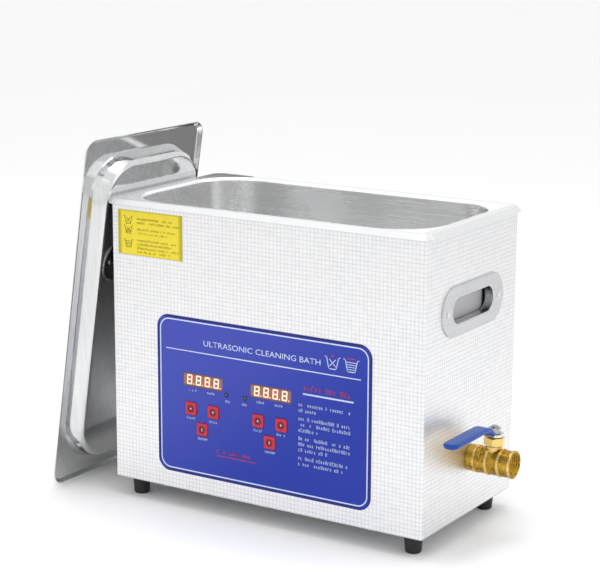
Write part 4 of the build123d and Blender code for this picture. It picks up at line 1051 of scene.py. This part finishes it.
@dataclass
class ControlPanel:
    """The printed overlay, its two displays, lamps and six keys."""

    line_inset: float = 3.5
    line_width: float = 1.15
    line_corner: float = 9.5
    title_rise: float = 120.4
    title_height: float = 5.0
    title_width: float = 120.0
    rule_rise: float = 113.6
    rule_ends: tuple[float, float] = (-100.0, 99.0)
    heading_rule_ends: tuple[float, float] = (43.5, 92.0)
    heading_rule_z: float = 126.4
    sign_places: tuple[float, float] = (71.8, 90.1)
    sign_z: float = 157.6
    sign_size: float = 14.5
    sign_stroke: float = 0.75
    notes_left: float = 38.6
    notes_top: float = 115.2
    notes_height: float = 2.75
    notes_pitch: float = 5.1
    notes_gap: float = 2.25
    digit_height: float = 8.3
    digit_width: float = 4.9
    digit_pitch: float = 9.5
    digit_stroke: float = 1.2
    digit_lean: float = 0.06
    key_half: float = 5.8
    key_corner: float = 1.8
    dish_radius: float = 3.3
    keys: Sequence[str] = ("temp_up", "temp_down", "heat_power", "time_up", "time_down", "clean_power")
    face_y: float = field(init=False, default=0.0)
    bottom: float = field(init=False, default=0.0)

    def build(self) -> None:
        """Makes the artwork, digits and key caps, and dresses what is behind them."""
        low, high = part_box("panel_overlay")
        self.face_y = low.y
        self.bottom = low.z / MM
        film = PanelFilm("panel_film", tuple(low), tuple(high))
        dress_nodes(
            {
                "panel_overlay": film,
                "control_board": Laminate("control_laminate"),
                "indicator_lamps": LAMP_LENS,
                "key_switches": BLACK,
            }
        )
        self.print_white(high.x / MM, (high.z - low.z) / MM)
        self.print_red()
        for name in ("temp", "time"):
            self.light_display(name)
        for name in self.keys:
            self.cap(name)
        self.lamp_bezels()

    def print_white(self, half: float, height: float) -> None:
        """Prints the white line, rule, title, signs, notes and labels.

        Args:
            half: half the film's width.
            height: the film's height.
        """
        art = Print()
        middle, inset = self.bottom + height / 2, self.line_inset
        art.frame_line(half - inset, height / 2 - inset, middle, self.line_corner, self.line_width)
        rule, title = self.bottom + self.rule_rise, self.bottom + self.title_rise
        left, right = self.rule_ends
        art.lines(np.array([[left, rule, right, rule]]), 1.0)
        art.words("ULTRASONIC CLEANING BATH", 0.0, title, self.title_height, self.title_width)
        empty, filled = self.sign_places
        art.basket(empty, self.sign_z, self.sign_size, self.sign_stroke, 0, True)
        art.basket(filled, self.sign_z, self.sign_size, self.sign_stroke, 4, False)
        left, right = self.heading_rule_ends
        art.lines(np.array([[left, self.heading_rule_z, right, self.heading_rule_z]]), 1.5)
        self.print_notes(art)
        self.print_labels(art)
        art.piece("panel_white_print", self.face_y, WHITE_INK, "cleaner", "panel_print")

    def print_notes(self, art: Print) -> None:
        """Prints four short notes in made-up letters, in a column at the right."""
        widths = [[54, 19], [54, 54, 22], [54, 54, 30], [54, 47]]
        base = self.notes_top
        for note, lines in enumerate(widths):
            for line, width in enumerate(lines):
                right = self.notes_left + width
                art.greek(self.notes_left, right, base, self.notes_height, 10 * note + line)
                base -= self.notes_pitch
            base -= self.notes_gap

    def print_labels(self, art: Print) -> None:
        """Prints small words under the lamps, the displays and the keys."""
        for node, offset in (("display_temp", 10.4), ("display_time", 10.0)):
            centre = middle_of(node) / MM
            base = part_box(node)[0].z / MM - 4.4
            art.greek(centre[0] - offset - 4.4, centre[0] - offset + 4.6, base, 2.0, int(offset * 7))
            art.greek(centre[0] + offset - 5.6, centre[0] + offset + 5.8, base, 2.0, int(offset * 9))
        low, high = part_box("indicator_lamps")
        for x in (low.x / MM + 2.4, high.x / MM - 2.4):
            art.words("ON", x, low.z / MM - 5.6, 2.2)
        for place, name in enumerate(self.keys):
            centre = middle_of(f"key_{name}") / MM
            base = centre[2] - self.key_half - 4.1
            if name.endswith("power"):
                art.words("ON/OFF", centre[0], base, 2.2, 10.5)
            else:
                art.greek(centre[0] - 4.6, centre[0] + 4.8, base, 2.2, 90 + place)

    def print_red(self) -> None:
        """Prints the red headings in made-up letters."""
        art = Print()
        art.greek(44.0, 92.0, 129.6, 4.4, 71)
        art.greek(-46.5, -5.5, 58.4, 4.2, 72)
        art.lines(np.array([[-46.0, 56.2, -6.0, 56.2]]), 0.7)
        art.lines(np.array([[70.6, 163.6, 73.0, 163.6], [86.6, 163.6, 93.6, 163.6]]), 1.0)
        art.piece("panel_red_print", self.face_y, RED_INK, "cleaner", "panel_print")

    def figure(self, art: Print, x: float, z: float, width: float) -> None:
        """Draws one lit figure: seven strokes, leaning a little.

        Args:
            art: the drawing.
            x: the figure's middle.
            z: its middle height.
            width: the strokes' width.
        """
        half_x, half_z = self.digit_width / 2, self.digit_height / 2
        gap = 0.35
        strokes = np.array(
            [
                [-half_x + gap, half_z, half_x - gap, half_z], [-half_x + gap, 0, half_x - gap, 0],
                [-half_x + gap, -half_z, half_x - gap, -half_z], [-half_x, gap, -half_x, half_z - gap],
                [half_x, gap, half_x, half_z - gap], [-half_x, -half_z + gap, -half_x, -gap],
                [half_x, -half_z + gap, half_x, -gap],
            ]
        )
        strokes[:, 0] += strokes[:, 1] * self.digit_lean
        strokes[:, 2] += strokes[:, 3] * self.digit_lean
        strokes[:, [0, 2]] *= 1.0 - 0.9 * self.digit_stroke / self.digit_width * 0.5
        strokes[:, [1, 3]] *= 1.0 - 0.5 * self.digit_stroke / self.digit_height
        art.lines(strokes + np.array([x, z, x, z]), width)

    def light_display(self, name: str) -> None:
        """Lights four figures with their points in a display window.

        Args:
            name: which display.
        """
        node = f"display_{name}"
        low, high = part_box(node)
        centre = middle_of(node)
        dress_nodes({node: SmokedWindow(f"window_{name}", tuple(centre), (high.z - low.z) / 2)})
        for layer, width, finish, lift in (
            ("halo", self.digit_stroke + 0.7, SEGMENT_HALO, 0.0),
            ("core", self.digit_stroke - 0.15, SEGMENT_CORE, 0.04 * MM),
        ):
            art = Print()
            for place in range(4):
                x = centre[0] / MM + (place - 1.5) * self.digit_pitch
                self.figure(art, x, centre[2] / MM + 0.2, width)
                spot = x + self.digit_width / 2 + 1.7
                foot = centre[2] / MM - self.digit_height / 2 + 0.5
                art.lines(np.array([[spot, foot, spot + 0.05, foot]]), width * 0.8)
            art.piece(f"figures_{name}_{layer}", low.y - lift, finish, "cleaner", "display_filter")

    def lamp_bezels(self) -> None:
        """Puts a thin dark ring round each lamp: a torus of small radius about the lamp's axis."""
        low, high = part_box("indicator_lamps")
        radius = (high.z - low.z) / 2 / MM
        angle = np.linspace(0.0, 2.0 * np.pi, 12, endpoint=False)
        profile = np.stack([radius + 0.45 + 0.35 * np.cos(angle), 0.35 * np.sin(angle)], -1)
        z = (low.z + high.z) / 2
        places = (low.x + radius * MM, high.x - radius * MM)
        rings = [aim(turned(profile, 40), np.array([x, self.face_y, z]), "Y") for x in places]
        faces = band_faces(12, 40, close_rows=True)
        joined = np.concatenate([faces + place * 480 for place in range(2)])
        make_piece("lamp_bezels", np.stack(rings), joined, BLACK, "cleaner")

    def cap(self, name: str) -> None:
        """Makes a key: square rings with round corners lofted from stem to flange to a dished face.

        Args:
            name: which key.
        """
        node = f"key_{name}"
        low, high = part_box(node)
        centre = np.array([(low.x + high.x) / 2, 0.0, (low.z + high.z) / 2])
        front, back = low.y / MM, high.y / MM
        flange = (high.x - low.x) / 2 / MM
        shelf = front + 2.6
        rows = [
            (0.05, 0.05, back), (2.0, 2.0, back), (2.0, 2.0, shelf + 1.0), (flange, 2.8, shelf + 1.0),
            (flange, 2.8, shelf), (self.key_half, self.key_corner, shelf),
            (self.key_half, self.key_corner, front + 0.6), (self.key_half - 0.16, 1.7, front + 0.25),
            (self.key_half - 0.5, 1.5, front + 0.04), (self.key_half - 0.9, 1.4, front),
            (self.dish_radius + 0.35, self.dish_radius + 0.35, front),
            (self.dish_radius, self.dish_radius, front + 0.06),
            (self.dish_radius * 0.8, self.dish_radius * 0.8, front + 0.2),
            (self.dish_radius * 0.5, self.dish_radius * 0.5, front + 0.32),
            (0.05, 0.05, front + 0.36),
        ]
        rings = np.stack(
            [
                np.concatenate([rounded_ring(half, corner), np.full((48, 1), y)], 1)
                for half, corner, y in rows
            ]
        )
        points = rings[..., (0, 2, 1)] * MM + centre
        count = len(rows)
        faces = band_faces(count, 48).tolist()
        ends = [list(range(48)), list(range((count - 1) * 48, count * 48))]
        body = f"press_{name}"
        piece = make_piece(f"cap_{name}", points, faces + ends, KeyCapPlastic("key_cap"), body)
        across = np.zeros(len(piece.data.vertices) * 3, np.float32)
        piece.data.vertices.foreach_get("co", across)
        across = across.reshape(-1, 3) - centre
        away = np.hypot(across[:, 0], across[:, 2]) / MM
        dish = ((away < self.dish_radius + 0.2) & (across[:, 1] / MM < front + 0.5)).astype(np.float32)
        piece.data.attributes.new("dish", "FLOAT", "POINT").data.foreach_set("value", dish)
        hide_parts(node)
        self.symbol(name, centre / MM, (front + 0.1) * MM, body)

    def symbol(self, name: str, centre: np.ndarray, y: float, body: str) -> None:
        """Prints a key's sign: an arrow head up or down, or an upright bar.

        Args:
            name: which key.
            centre: the key's middle, in millimetres.
            y: the face that it lies on, in metres.
            body: the CAD body that it rides on.
        """
        art = Print()
        x, z = centre[0], centre[2]
        if name.endswith("power"):
            art.lines(np.array([[x, z - 1.1, x, z + 1.1]]), 0.75)
        else:
            point = 1.25 if name.endswith("up") else -1.25
            corners = np.array([[x - 1.1, z - point * 0.6], [x + 1.1, z - point * 0.6], [x, z + point]])
            order = (0, 1, 2) if point > 0 else (2, 1, 0)
            art.add(corners, [order])
        art.piece(f"sign_{name}", y, WHITE_INK, body, "key_red")


@dataclass
class InstructionLabel:
    """The yellow label: three tank signs and three notes in made-up letters."""

    sign_inset: float = 11.5
    sign_size: float = 9.6
    text_inset: float = 21.0
    text_height: float = 1.75

    def build(self) -> None:
        """Dresses the label and prints it."""
        low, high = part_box("instruction_label")
        dress_nodes({"instruction_label": LabelFilm("label_film", tuple(low), tuple(high))})
        left, top = low.x / MM, high.z / MM
        art = Print()
        for place, drop in enumerate((8.6, 17.2, 29.6)):
            art.basket(left + self.sign_inset, top - drop, self.sign_size, 0.62, (0, 2, 4)[place], place < 2)
        notes = ((7.2, (40, 46)), (16.6, (42, 34)), (26.4, (44, 38, 46, 36)))
        for note, (drop, widths) in enumerate(notes):
            for line, width in enumerate(widths):
                base = top - drop - line * 3.5 - 0.6
                start = left + self.text_inset
                art.greek(start, start + width, base, self.text_height, 300 + 10 * note + line)
        art.piece("label_print_olive", low.y, OLIVE_INK, "cleaner", "label_print")


@dataclass
class DrainValve:
    """The brass ball valve: turned body, threaded outlet, gland nut and the dipped lever."""

    thread_pitch: float = 1.81
    thread_depth: float = 0.9
    ring_width: float = 2.2
    ring_proud: float = 0.7
    sleeve_width: float = 14.8
    sleeve_thickness: float = 4.8

    def build(self) -> None:
        """Makes the valve's turned and dipped pieces and dresses the rest."""
        dress_nodes(
            {
                "valve_seats": SEAT_WHITE,
                "valve_ball": CHROME,
                "valve_stem": CHROME,
                "lever": PLATED,
            }
        )
        self.body()
        self.tailpiece()
        self.neck()
        self.nuts()
        self.sleeve()

    def body(self) -> None:
        """Turns the body: plain barrels between beaded rings, and a bore with a screw thread.

        The outer radius is the barrel's plus a bead where a ring is. In the outlet the radius also
        falls and rises once per pitch along the axis and once per turn, which makes one helix.
        """
        low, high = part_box("valve_body")
        start, end = low.x / MM, high.x / MM
        axis_y, axis_z = middle_of("valve_tailpiece")[1:]
        barrel = (high.y - low.y) / 2 / MM - self.ring_proud
        rings = (start + 5.7, end - 11.7, end - 1.25)
        along = np.linspace(start, end, 240)
        outer = np.full_like(along, barrel)
        for ring in rings:
            share = np.clip((self.ring_width / 2 + 0.25 - abs(along - ring)) / 0.5, 0.0, 1.0)
            outer += self.ring_proud * share * share * (3 - 2 * share)
        outer -= 0.35 * np.clip(1 - (along - start) / 0.4, 0, 1)
        outer -= 0.45 * np.clip(1 - (end - along) / 0.5, 0, 1)
        inside = np.linspace(end, end - 9.5, 150)
        crest, step = 9.3, end - 9.5
        shoulder = np.array([step, step, end - 11.0, end - 11.0, start, start])
        bores = np.array([crest, 5.5, 5.5, 9.5, 9.5, barrel - 0.35])
        axial = np.concatenate([along, inside, shoulder])
        radius = np.concatenate([outer, np.full_like(inside, crest), bores])
        grid = turned(np.stack([radius, axial], -1), 120)
        angle = np.arctan2(grid[..., 1], grid[..., 0])
        turns = (grid[..., 2] / self.thread_pitch - angle / (2 * np.pi)) % 1.0
        cut = self.thread_depth * (1 - abs(turns * 2 - 1))
        mouth = np.clip((end - grid[..., 2]) / 1.0, 0.0, 1.0)
        threaded = np.zeros(len(axial))
        threaded[len(along) : len(along) + len(inside) - 1] = 1.0
        deeper = (cut * mouth + (1 - mouth) * 1.3) * threaded[:, None]
        grow = 1 + deeper / np.maximum(np.hypot(grid[..., 0], grid[..., 1]), 1e-6)
        grid[..., :2] *= grow[..., None]
        points = aim(grid, np.array([0.0, axis_y, axis_z]), "X")
        faces = band_faces(len(axial), 120, close_rows=True)
        made = make_piece("valve_barrel", points, faces, BRASS, "cleaner", sharp=40.0)
        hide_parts("valve_body")

    def tailpiece(self) -> None:
        """Turns the tailpiece: a barrel with an eight-sided wrench collar cut by a cone."""
        low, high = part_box("valve_tailpiece")
        start, end = low.x / MM, high.x / MM
        _, axis_y, axis_z = middle_of("valve_tailpiece")
        barrel = 11.6
        angle = np.linspace(0.0, 2.0 * np.pi, 160, endpoint=False)
        folded = np.mod(angle, np.pi / 4) - np.pi / 8
        flat = (high.z - low.z) / 2 / MM * np.cos(np.pi / 8)
        side = np.minimum(flat / np.cos(folded), (high.z - low.z) / 2 / MM - 0.15)
        collar = end - 5.5
        rows = [
            (start, 8.0, 0), (start, barrel - 0.4, 0), (start + 0.4, barrel, 0), (collar - 1.25, barrel, 0),
            (collar - 1.1, 0.0, 1), (collar + 1.1, 0.0, 1), (collar + 1.25, barrel, 0),
            (end - 1.2, barrel, 0), (end - 0.6, barrel - 0.5, 0), (end, barrel - 0.5, 0), (end, 8.0, 0),
        ]
        radii = np.stack([np.where(hexed, side, radius) * np.ones_like(angle) for _, radius, hexed in rows])
        axial = np.array([row[0] for row in rows])[:, None] * np.ones_like(angle)
        grid = np.stack([radii * np.cos(angle), radii * np.sin(angle), axial], -1)
        points = aim(grid, np.array([0.0, axis_y, axis_z]), "X")
        faces = band_faces(len(rows), 160, close_rows=True)
        made = make_piece("valve_tail", points, faces, BRASS, "cleaner")
        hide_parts("valve_tailpiece")

    def neck(self) -> None:
        """Turns the neck that the stem comes out of, with a bead under the gland nut."""
        low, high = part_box("packing_nut")
        centre = middle_of("packing_nut")
        top = low.z / MM
        profile = np.array(
            [
                (4.1, top), (6.0, top), (6.4, top - 0.4), (6.5, top - 0.9), (7.1, top - 1.1),
                (7.2, top - 2.0),
                (7.1, top - 2.9), (6.4, top - 3.2), (6.4, top - 4.4), (7.4, top - 6.0), (7.4, top - 8.0),
                (4.1, top - 8.0),
            ]
        )
        points = aim(turned(profile, 72), np.array([centre[0], centre[1], 0.0]), "Z")
        make_piece("valve_neck", points, band_faces(12, 72, close_rows=True), BRASS, "cleaner")

    def nuts(self) -> None:
        """Makes the gland nut and the lever's nut with cone-cut corners."""
        for node, name, finish, body, slot, bore, turn in (
            ("packing_nut", "gland_nut", BRASS, "cleaner", "brass", 4.1, 15.0),
            ("lever_nut", "lever_top_nut", CHROME, "valve_turner", "zinc_screw", 3.0, 10.0),
        ):
            low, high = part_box(node)
            centre = np.array([*middle_of(node)[:2], 0.0])
            corner = {"packing_nut": 9.6, "lever_nut": 5.6}[node]
            grid = hex_nut(corner * math.sqrt(3) - 0.02, low.z / MM, high.z / MM, bore, turn - 30.0)
            faces = band_faces(6, 120, close_rows=True)
            made = make_piece(name, aim(grid, centre, "Z"), faces, finish, body, sharp=25.0)
            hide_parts(node)

    def sleeve(self) -> None:
        """Sweeps the dipped sleeve along the cranked lever.

        Its section is a flattened ring, |u/w|^6 + |v/t|^2.6 = 1, whose half width w closes as a
        quarter circle at the tip, and thins a little about 18 mm along.
        """
        low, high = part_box("lever_sleeve")
        centre_x = middle_of("lever_sleeve")[0]
        half = self.sleeve_thickness / 2
        rise = high.z / MM - half
        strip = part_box("lever")[0]
        root = strip.z / MM + 1.0
        kink = -19.0
        tip = low.y / MM
        corners = np.array([[high.y / MM - 4.2, root + 3.3], [kink, rise], [tip, rise]])
        path = eased_path(corners, 5.0, 14)
        length = np.concatenate([[0.0], np.cumsum(np.linalg.norm(np.diff(path, axis=0), axis=1))])
        round_half = self.sleeve_width / 2
        ease = np.sin(np.linspace(0.0, np.pi / 2, 26))
        stations = np.concatenate(
            [np.linspace(0.0, length[-1] - round_half, 60), length[-1] - round_half + round_half * ease[1:]]
        )
        y = np.interp(stations, length, path[:, 0])
        z = np.interp(stations, length, path[:, 1])
        lead = np.stack([np.gradient(y, stations), np.gradient(z, stations)], -1)
        lead /= np.linalg.norm(lead, axis=1, keepdims=True)
        left = np.clip((stations - (length[-1] - round_half)) / round_half, 0.0, 1.0)
        taper = np.sqrt(np.clip(1 - left**2, 1e-4, 1.0))
        root_ease = np.sqrt(np.clip(stations / 1.6, 0.0, 1.0)) * 0.25 + 0.75
        wide = round_half * taper * root_ease
        thick = half * np.clip(taper * 1.6, 0.02, 1.0) * root_ease
        thick *= 1.0 - 0.12 * np.exp(-(((stations - 18.0) / 9.0) ** 2))
        angle = np.linspace(0.0, 2 * np.pi, 48, endpoint=False)
        u = np.sign(np.cos(angle)) * abs(np.cos(angle)) ** (1 / 2.2)
        v = np.sign(np.sin(angle)) * abs(np.sin(angle)) ** (1 / 1.35)
        upward = np.stack([-lead[:, 1], lead[:, 0]], -1)
        flip = np.where(upward[:, 1:] < 0, -1.0, 1.0)
        upward = upward * flip
        x = centre_x / MM + wide[:, None] * u
        yy = y[:, None] + upward[:, :1] * thick[:, None] * v
        zz = z[:, None] + upward[:, 1:] * thick[:, None] * v
        points = np.stack(np.broadcast_arrays(x, yy, zz), -1) * MM
        rows = len(stations)
        faces = band_faces(rows, 48).tolist()
        ends = [list(range(48)), list(range((rows - 1) * 48, rows * 48))]
        made = make_piece(
            "lever_dip", points, faces + ends, LEVER_BLUE, "valve_turner", sharp=50.0
        )
        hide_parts("lever_sleeve")


@dataclass
class MainsInlet:
    """The appliance inlet and the rocker switch."""

    def build(self) -> None:
        """Dresses both."""
        dress_nodes({"power_inlet": BLACK, "rocker_frame": BLACK, "rocker": ROCKER_RED})


@dataclass
class CoolingFan:
    """The fan: moulded frame, a wheel of curved blades and a wire guard."""

    wire: float = 0.8
    rings: int = 4
    blades: int = 7
    hub: float = 14.0
    reach: float = 26.8

    def build(self) -> None:
        """Makes the wheel and the guard."""
        dress_nodes({"fan_frame": BLACK})
        self.guard()
        self.wheel()

    def guard(self) -> None:
        """Bends the guard: rings of round wire, two crossed bars and an eye at each bar's end."""
        low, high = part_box("fan_guard")
        centre = middle_of("fan_guard")
        outer = 28.0
        angle = np.linspace(0.0, 2.0 * np.pi, 10, endpoint=False)
        circle = np.stack([np.cos(angle), np.sin(angle)], -1) * self.wire
        radii = [outer * (ring + 1) / self.rings - self.wire for ring in range(self.rings)]
        hoops = [turned(circle + np.array([radius, 0.0]), 72) for radius in radii]
        pitch = ((high.x - low.x) / 2 / MM - 4.6) * math.sqrt(2)
        eyes = []
        for corner in range(4):
            lean = np.pi / 4 + corner * np.pi / 2
            eye = turned(circle + np.array([3.8, 0.0]), 72)
            eyes.append(eye + np.array([pitch * np.cos(lean), pitch * np.sin(lean), 0.0]))
        bars = []
        for lean in (np.pi / 4, 3 * np.pi / 4):
            along = np.linspace(-pitch + 3.6, pitch - 3.6, 72)[None, :, None]
            way = np.array([np.cos(lean), np.sin(lean), 0.0])
            beside = np.array([-np.sin(lean), np.cos(lean), 0.0])
            bars.append(
                along * way + circle[:, :1, None] * beside + circle[:, 1:, None] * np.array([0.0, 0.0, 1.0])
            )
        grids = np.stack(hoops + eyes + bars)
        points = aim(grids, centre, "Y")
        loop = band_faces(10, 72, close_rows=True)
        open_band = band_faces(10, 72, close_rows=True, close_columns=False)
        faces = [loop + 720 * k for k in range(self.rings + 4)]
        faces += [open_band + 720 * (self.rings + 4 + k) for k in range(2)]
        made = make_piece(
            "fan_guard_wires", points, np.concatenate(faces), PLATED, "cleaner"
        )
        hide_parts("fan_guard")

    def wheel(self) -> None:
        """Makes the wheel: a round-edged hub, and blades that twist and arch from hub to tip.

        A blade's point at radius r and chord share c lies at angle a0 + c * chord / r + sweep, and
        c * half depth * sin(pitch) along the axis, plus an arch of 1 - c squared.
        """
        low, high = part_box("fan_rotor")
        centre = middle_of("fan_frame")
        back, front = low.y / MM - centre[1] / MM + 3.0, high.y / MM - centre[1] / MM
        profile = np.array(
            [
                (0.0, back), (self.hub, back), (self.hub, front - 1.2), (self.hub - 0.35, front - 0.35),
                (self.hub - 1.2, front), (4.0, front), (3.4, front - 0.4), (0.0, front - 0.4),
            ]
        )
        hub = aim(turned(profile, 72), centre, "Y")
        hub_faces = band_faces(8, 72)
        make_piece("fan_hub", hub, hub_faces, BLACK, "fan_wheel")
        radius = np.linspace(self.hub - 0.4, self.reach, 14)[None, :, None]
        chord = np.linspace(-1.0, 1.0, 11)[None, None, :]
        start = (np.arange(self.blades) * 2 * np.pi / self.blades)[:, None, None]
        share = (radius - self.hub) / (self.reach - self.hub)
        angle = start + chord * (7.6 + 1.8 * share) / radius + 0.22 * share
        depth = (front - back) / 2 - 1.2
        height = (front + back) / 2 + chord * depth * (0.95 - 0.3 * share) + 0.9 * (1 - chord**2)
        local = np.stack(
            np.broadcast_arrays(radius * np.cos(angle), radius * np.sin(angle), height), -1
        )
        faces = band_faces(14, 11, close_columns=False)
        joined = np.concatenate([faces + k * 154 for k in range(self.blades)])
        made = make_piece(
            "fan_blades", aim(local, centre, "Y"), joined, BLACK, "fan_wheel", closed=False
        )
        wall = made.modifiers.new("wall", "SOLIDIFY")
        wall.thickness = 1.0 * MM
        wall.offset = 0.0
        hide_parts("fan_rotor")


@dataclass
class Lid:
    """The pressed lid with its bent handle."""

    def dress(self) -> None:
        """Dresses the lid."""
        dress_nodes({"lid": LID_SHEET, "lid_handle": PLATED, "lid_handle_nuts": PLATED})


# ---- Studio --------------------------------------------------------------------------------------


@dataclass
class Studio:
    """A pale floor, a white surround, soft lights, dark cards for painted reflections, and the camera."""

    azimuth: float = 32.266
    elevation: float = 12.583
    roll: float = 0.244
    distance: float = 1.63333
    target: tuple[float, float, float] = (-0.012957, 0.0, 0.195584)
    lens: float = 109.8165

    def build(self) -> None:
        """Sets the surround, floor, lights and camera."""
        scene = bpy.context.scene
        scene.view_settings.view_transform = "Standard"
        self.surround()
        self.floor()
        self.light("key", (-0.9, -1.5, 1.5), 1.5, 2.5)
        self.light("fill", (1.6, 0.2, 1.2), 1.2, 2.0)
        self.light("top", (0.0, 0.2, 1.9), 1.4, 2.0)
        self.light("tank_light", (0.0, 0.0, 1.1), 0.5, 4.0)
        # painted reflections: cards seen only in polished parts, standing in for the dark shade beside the
        # lid and behind the case
        self.dark_card("card_beside", (-0.275, 0.13, 0.15), (0.25, 0.3), 0.03)
        self.dark_card("card_behind", (0.05, 0.52, 0.11), (0.34, 0.22), 0.24)
        self.camera()

    def surround(self) -> None:
        """Fills the world with even white."""
        world = bpy.data.worlds.new("surround")
        world.use_nodes = True
        world.node_tree.nodes["Background"].inputs["Color"].default_value = (1.0, 1.0, 1.0, 1.0)
        world.node_tree.nodes["Background"].inputs["Strength"].default_value = 1.0
        bpy.context.scene.world = world

    def floor(self) -> None:
        """Lays a wide plain floor."""
        mesh = bpy.data.meshes.new("floor")
        mesh.from_pydata([(-40, -40, 0), (40, -40, 0), (40, 40, 0), (-40, 40, 0)], [], [(0, 1, 2, 3)])
        sheet = Sheet("floor_paint")
        cloud = sheet.noise(sheet.place(), 3.0, 2.0)
        tone = sheet.mix(cloud, (0.93, 0.93, 0.93), (0.95, 0.95, 0.95))
        mesh.materials.append(sheet.dress(Base_Color=tone, Roughness=0.9))
        floor = bpy.data.objects.new("floor", mesh)
        bpy.context.scene.collection.objects.link(floor)

    def light(self, name: str, place: tuple[float, float, float], size: float, power: float) -> None:
        """Hangs a square soft light that looks at the object's middle.

        Args:
            name: its name.
            place: where it hangs.
            size: the side of its square.
            power: its strength in watts.
        """
        lamp = bpy.data.lights.new(name, "AREA")
        lamp.shape = "SQUARE"
        lamp.size = size
        lamp.energy = power
        holder = bpy.data.objects.new(name, lamp)
        holder.location = place
        look = Vector(self.target) - Vector(place)
        holder.rotation_euler = look.to_track_quat("-Z", "Y").to_euler()
        bpy.context.scene.collection.objects.link(holder)

    def dark_card(
        self, name: str, place: tuple[float, float, float], size: tuple[float, float], tone: float
    ) -> None:
        """Stands a dark card that only polished parts mirror: a painted dark reflection, hidden from the
        camera, from diffuse light and from shadows.

        Args:
            name: its name.
            place: its middle.
            size: its width and height.
            tone: how much light it gives back.
        """
        half_x, half_z = size[0] / 2, size[1] / 2
        mesh = bpy.data.meshes.new(name)
        mesh.from_pydata(
            [(-half_x, 0, -half_z), (half_x, 0, -half_z), (half_x, 0, half_z), (-half_x, 0, half_z)],
            [], [(0, 1, 2, 3)],
        )
        sheet = Sheet(name)
        cloud = sheet.noise(sheet.place(), 4.0, 2.0)
        paint = sheet.mix(cloud, (0.8 * tone,) * 3, (1.2 * tone,) * 3)
        mesh.materials.append(sheet.dress(Base_Color=paint, Roughness=1.0, Specular_IOR_Level=0.0))
        card = bpy.data.objects.new(name, mesh)
        card.location = place
        card.visible_camera = False
        card.visible_diffuse = False
        card.visible_shadow = False
        bpy.context.scene.collection.objects.link(card)

    def camera(self) -> None:
        """Stands the camera at its bearing and distance from the target, then rolls it."""
        a, e, r = (math.radians(v) for v in (self.azimuth, self.elevation, self.roll))
        back = Vector((math.sin(a) * math.cos(e), -math.cos(a) * math.cos(e), math.sin(e)))
        right = (-back).cross(Vector((0, 0, 1))).normalized()
        up = right.cross(-back)
        rolled_right = right * math.cos(r) + up * math.sin(r)
        rolled_up = up * math.cos(r) - right * math.sin(r)
        data = bpy.data.cameras.new("camera")
        data.lens = self.lens
        data.sensor_width = 36.0
        data.clip_end = 200.0
        camera = bpy.data.objects.new("camera", data)
        turn = Matrix((rolled_right, rolled_up, back)).transposed().to_4x4()
        camera.matrix_world = Matrix.Translation(Vector(self.target) + back * self.distance) @ turn
        bpy.context.scene.collection.objects.link(camera)
        bpy.context.scene.camera = camera


def main() -> None:
    """Builds the cleaner's looks in order."""
    logging.basicConfig(level=logging.INFO, format="%(message)s")
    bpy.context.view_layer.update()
    Studio().build()
    CaseShell().dress()
    TankUnit().dress()
    HandGrips().dress()
    Transducers().dress()
    Generator().dress()
    ControlPanel().build()
    InstructionLabel().build()
    DrainValve().build()
    MainsInlet().build()
    CoolingFan().build()
    Lid().dress()


if __name__ == "__main__":
    main()
